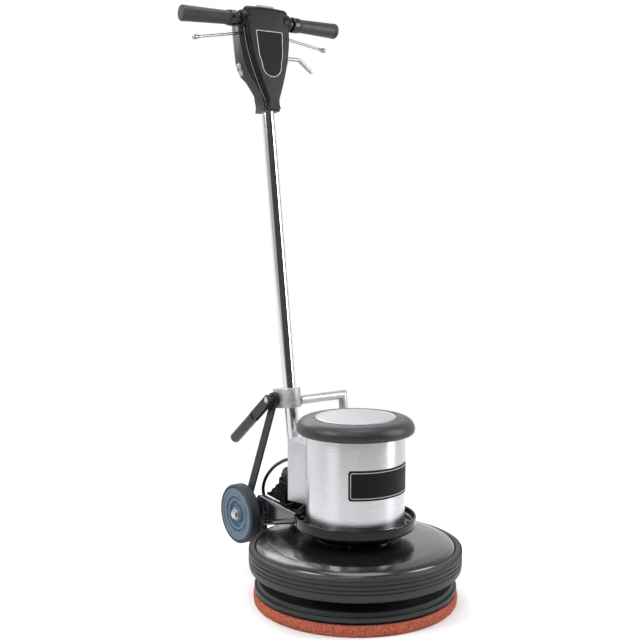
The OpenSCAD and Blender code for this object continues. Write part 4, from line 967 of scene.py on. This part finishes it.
def clamp_line(grow):
    """Plan of the clamp: a round front and a square back, split behind the tube."""
    block, back_end, slit = 24 + grow, clamp_hi.y + grow, 1.5
    bore = tube_r + 0.05 - min(0.0, grow)
    gap = math.degrees(math.asin(slit / bore))
    right = rounded([(block, 0), (block, back_end), (slit, back_end)], 7, n=6)
    inner = arc(0, 0, bore, 90 - gap, 90 + gap - 360, 48)
    return right + inner + [(-x, y) for x, y in right[::-1]] + arc(0, 0, block, 180, 360, 24)[1:-1]


clamp_steps = offset(0, -clamp_half, (-1.2, 0), (-0.35, 0.35), (0, 1.2))
clamp_steps += offset(0, clamp_half, (0, -1.2), (-0.35, -0.35), (-1.2, 0))
clamp = loft([[(x, y, clamp_z + h) for x, y in clamp_line(grow)] for grow, h in clamp_steps])
piece("clamp_block", clamp, "cast", "clamp", "handle_clamp", HANDLE, angle=40)
bolt_line = offset(0, bolt_start, (0, 0), (6.4, 0.2), (7, 1), (7, 2), (4.9, 2.1)) + [(4.9, 29), (0, 29)]
bolt = join(moved(lathe(bolt_line, 32), ALONG_X), moved(screw_head(9, 5.6, hexed=True), at(24.1) @ ALONG_X))
piece("clamp_bolt_seen", moved(bolt, at(0, bolt_y, clamp_z)), "steel", "clamp", "clamp_bolt", HANDLE, angle=28)

low_lo, low_hi = span("lower_hook", HANDLE)
pipe_r = 10.5
pipe_z, leg_x = low_hi.z - pipe_r, low_hi.x - pipe_r


def pipe_rings(points, r, n=40):
    """Rings of a mitred pipe in the plane y = 0, one at each point, set along the bisector of its corner."""
    pts = [Vector((x, 0, z)) for x, z in points]
    side = Vector((0, 1, 0))
    rings = []
    for i, p in enumerate(pts):
        before = (p - pts[i - 1]).normalized() if i else (pts[1] - p).normalized()
        after = (pts[i + 1] - p).normalized() if i < len(pts) - 1 else before
        cut, other = (before + after).normalized(), before.cross(side)
        turns = [2 * math.pi * k / n for k in range(n)]
        spokes = [side * (r * math.cos(t)) + other * (r * math.sin(t)) for t in turns]
        rings.append([p + q - before * (q.dot(cut) / before.dot(cut)) for q in spokes])
    return rings


pipe_line = [(23, pipe_z), (30, pipe_z), (leg_x, pipe_z), (leg_x, pipe_z - 30), (leg_x, low_lo.z)]
weld = turned([(pipe_r - 0.5, 24.05), (pipe_r + 2.2, 24.05), (pipe_r + 0.2, 27.5)], 0.5, 40)
pipe = join(hoop(pipe_rings(pipe_line, pipe_r) + pipe_rings(pipe_line, pipe_r - 2)[::-1]),
            moved(weld, at(0, 0, pipe_z) @ ALONG_X))
piece("cord_hook_lower", pipe, "pipe", "clamp", "lower_hook", HANDLE, angle=35)

# The cam lever is two flat legs with a sleeve over their ends and a web between them
sleeve_end, sleeve_foot, cam_drop = 190, 78, 30
x_out, x_in, leg_t = -48.6, -37.8, 3.6
CAM = at(0, bolt_y, clamp_z) @ turn(-cam_drop, "X")
leg_line = rounded(rect(-11.5, -11, sleeve_foot + 6, 11), [11, 0, 0, 11], closed=True, n=8)
legs = join(*[prism(leg_line, x - leg_t / 2, x + leg_t / 2, "X") for x in (x_out, x_in)])
sleeve_line = offset(0, sleeve_end, (0, 0), (9, 0), (12.2, -2.5))
sleeve_line += offset(0, sleeve_foot, (12.2, 3), (11.4, 0), (0, 0))
sleeve = lathe(rounded(sleeve_line, [0, 2, 2.5, 2, 0.6, 0]), 64)
SLEEVE = CAM @ at((x_out + x_in) / 2) @ ALONG_Y
web = prism(rounded(rect(28, -3.2, sleeve_foot + 4, 3.2), 2.5, closed=True), x_out + leg_t / 2 - 0.2,
            x_in - leg_t / 2 + 0.2, "X")
piece("cam_legs", moved(legs, CAM), "strut", "cam", "cam_lever", HANDLE, bevel=0.7)
piece("cam_sleeve", moved(sleeve, SLEEVE), "grip", "cam", (), HANDLE, angle=40)
piece("cam_web", moved(web, CAM), "rod", "cam", (), HANDLE, bevel=0.5)

# The strut is a flat bar that steps in from the axle to the clamp's bolt, with a round eye at each end
bolt_row = HANDLE @ Vector((0, bolt_y, clamp_z))
stay = Vector((0, bolt_row.y, bolt_row.z)) - Vector((0, axle_y, axle_z))
stay_len = stay.length
STAY = at(0, axle_y, axle_z) @ turn(-math.degrees(math.atan2(stay.y, stay.z)), "X")
strut_x, eye_x, strut_t, strut_w, eye_r, edge = 90, 33, 5, 11.5, 16, 0.7
stations = [(-strut_x, -eye_r), (-strut_x, 24), (-eye_x, stay_len - 18), (-eye_x, stay_len + eye_r)]
stations = rounded(stations, 30, n=6)
centre = [stations[0]]
for a, b in zip(stations, stations[1:]):
    parts = max(1, int(math.dist(a, b) / 6))
    steps = [k / parts for k in range(1, parts + 1)]
    centre += [(a[0] + (b[0] - a[0]) * t, a[1] + (b[1] - a[1]) * t) for t in steps]


def bar_width(z):
    """Half the width of the strut at height z."""
    eyes = [math.sqrt(max(0.0, eye_r**2 - h**2)) for h in (z, z - stay_len)]
    return max(*eyes, strut_w if 0 < z < stay_len else 0.0, 0.6)


bar_rings = []
for i, (x, z) in enumerate(centre):
    x0, z0 = centre[max(i - 1, 0)]
    x1, z1 = centre[min(i + 1, len(centre) - 1)]
    along = Vector((x1 - x0, 0, z1 - z0)).normalized()
    out = Vector((along.z, 0, -along.x))
    w, t = bar_width(z), strut_t / 2
    quarter = [(w, t - edge), (w - edge, t)]
    ring = quarter + [(-u, v) for u, v in quarter[::-1]]
    ring += [(u, -v) for u, v in ring[::-1]]
    bar_rings.append([Vector((x, u, z)) + out * v for u, v in ring])
boss = moved(turned(rect(8.5, -eye_x + 0.5, 15, -24.4), 1, 48), at(0, 0, stay_len) @ ALONG_X)
piece("strut_bar", moved(join(loft(bar_rings), boss), STAY), "strut", "stay", "strut", angle=30)
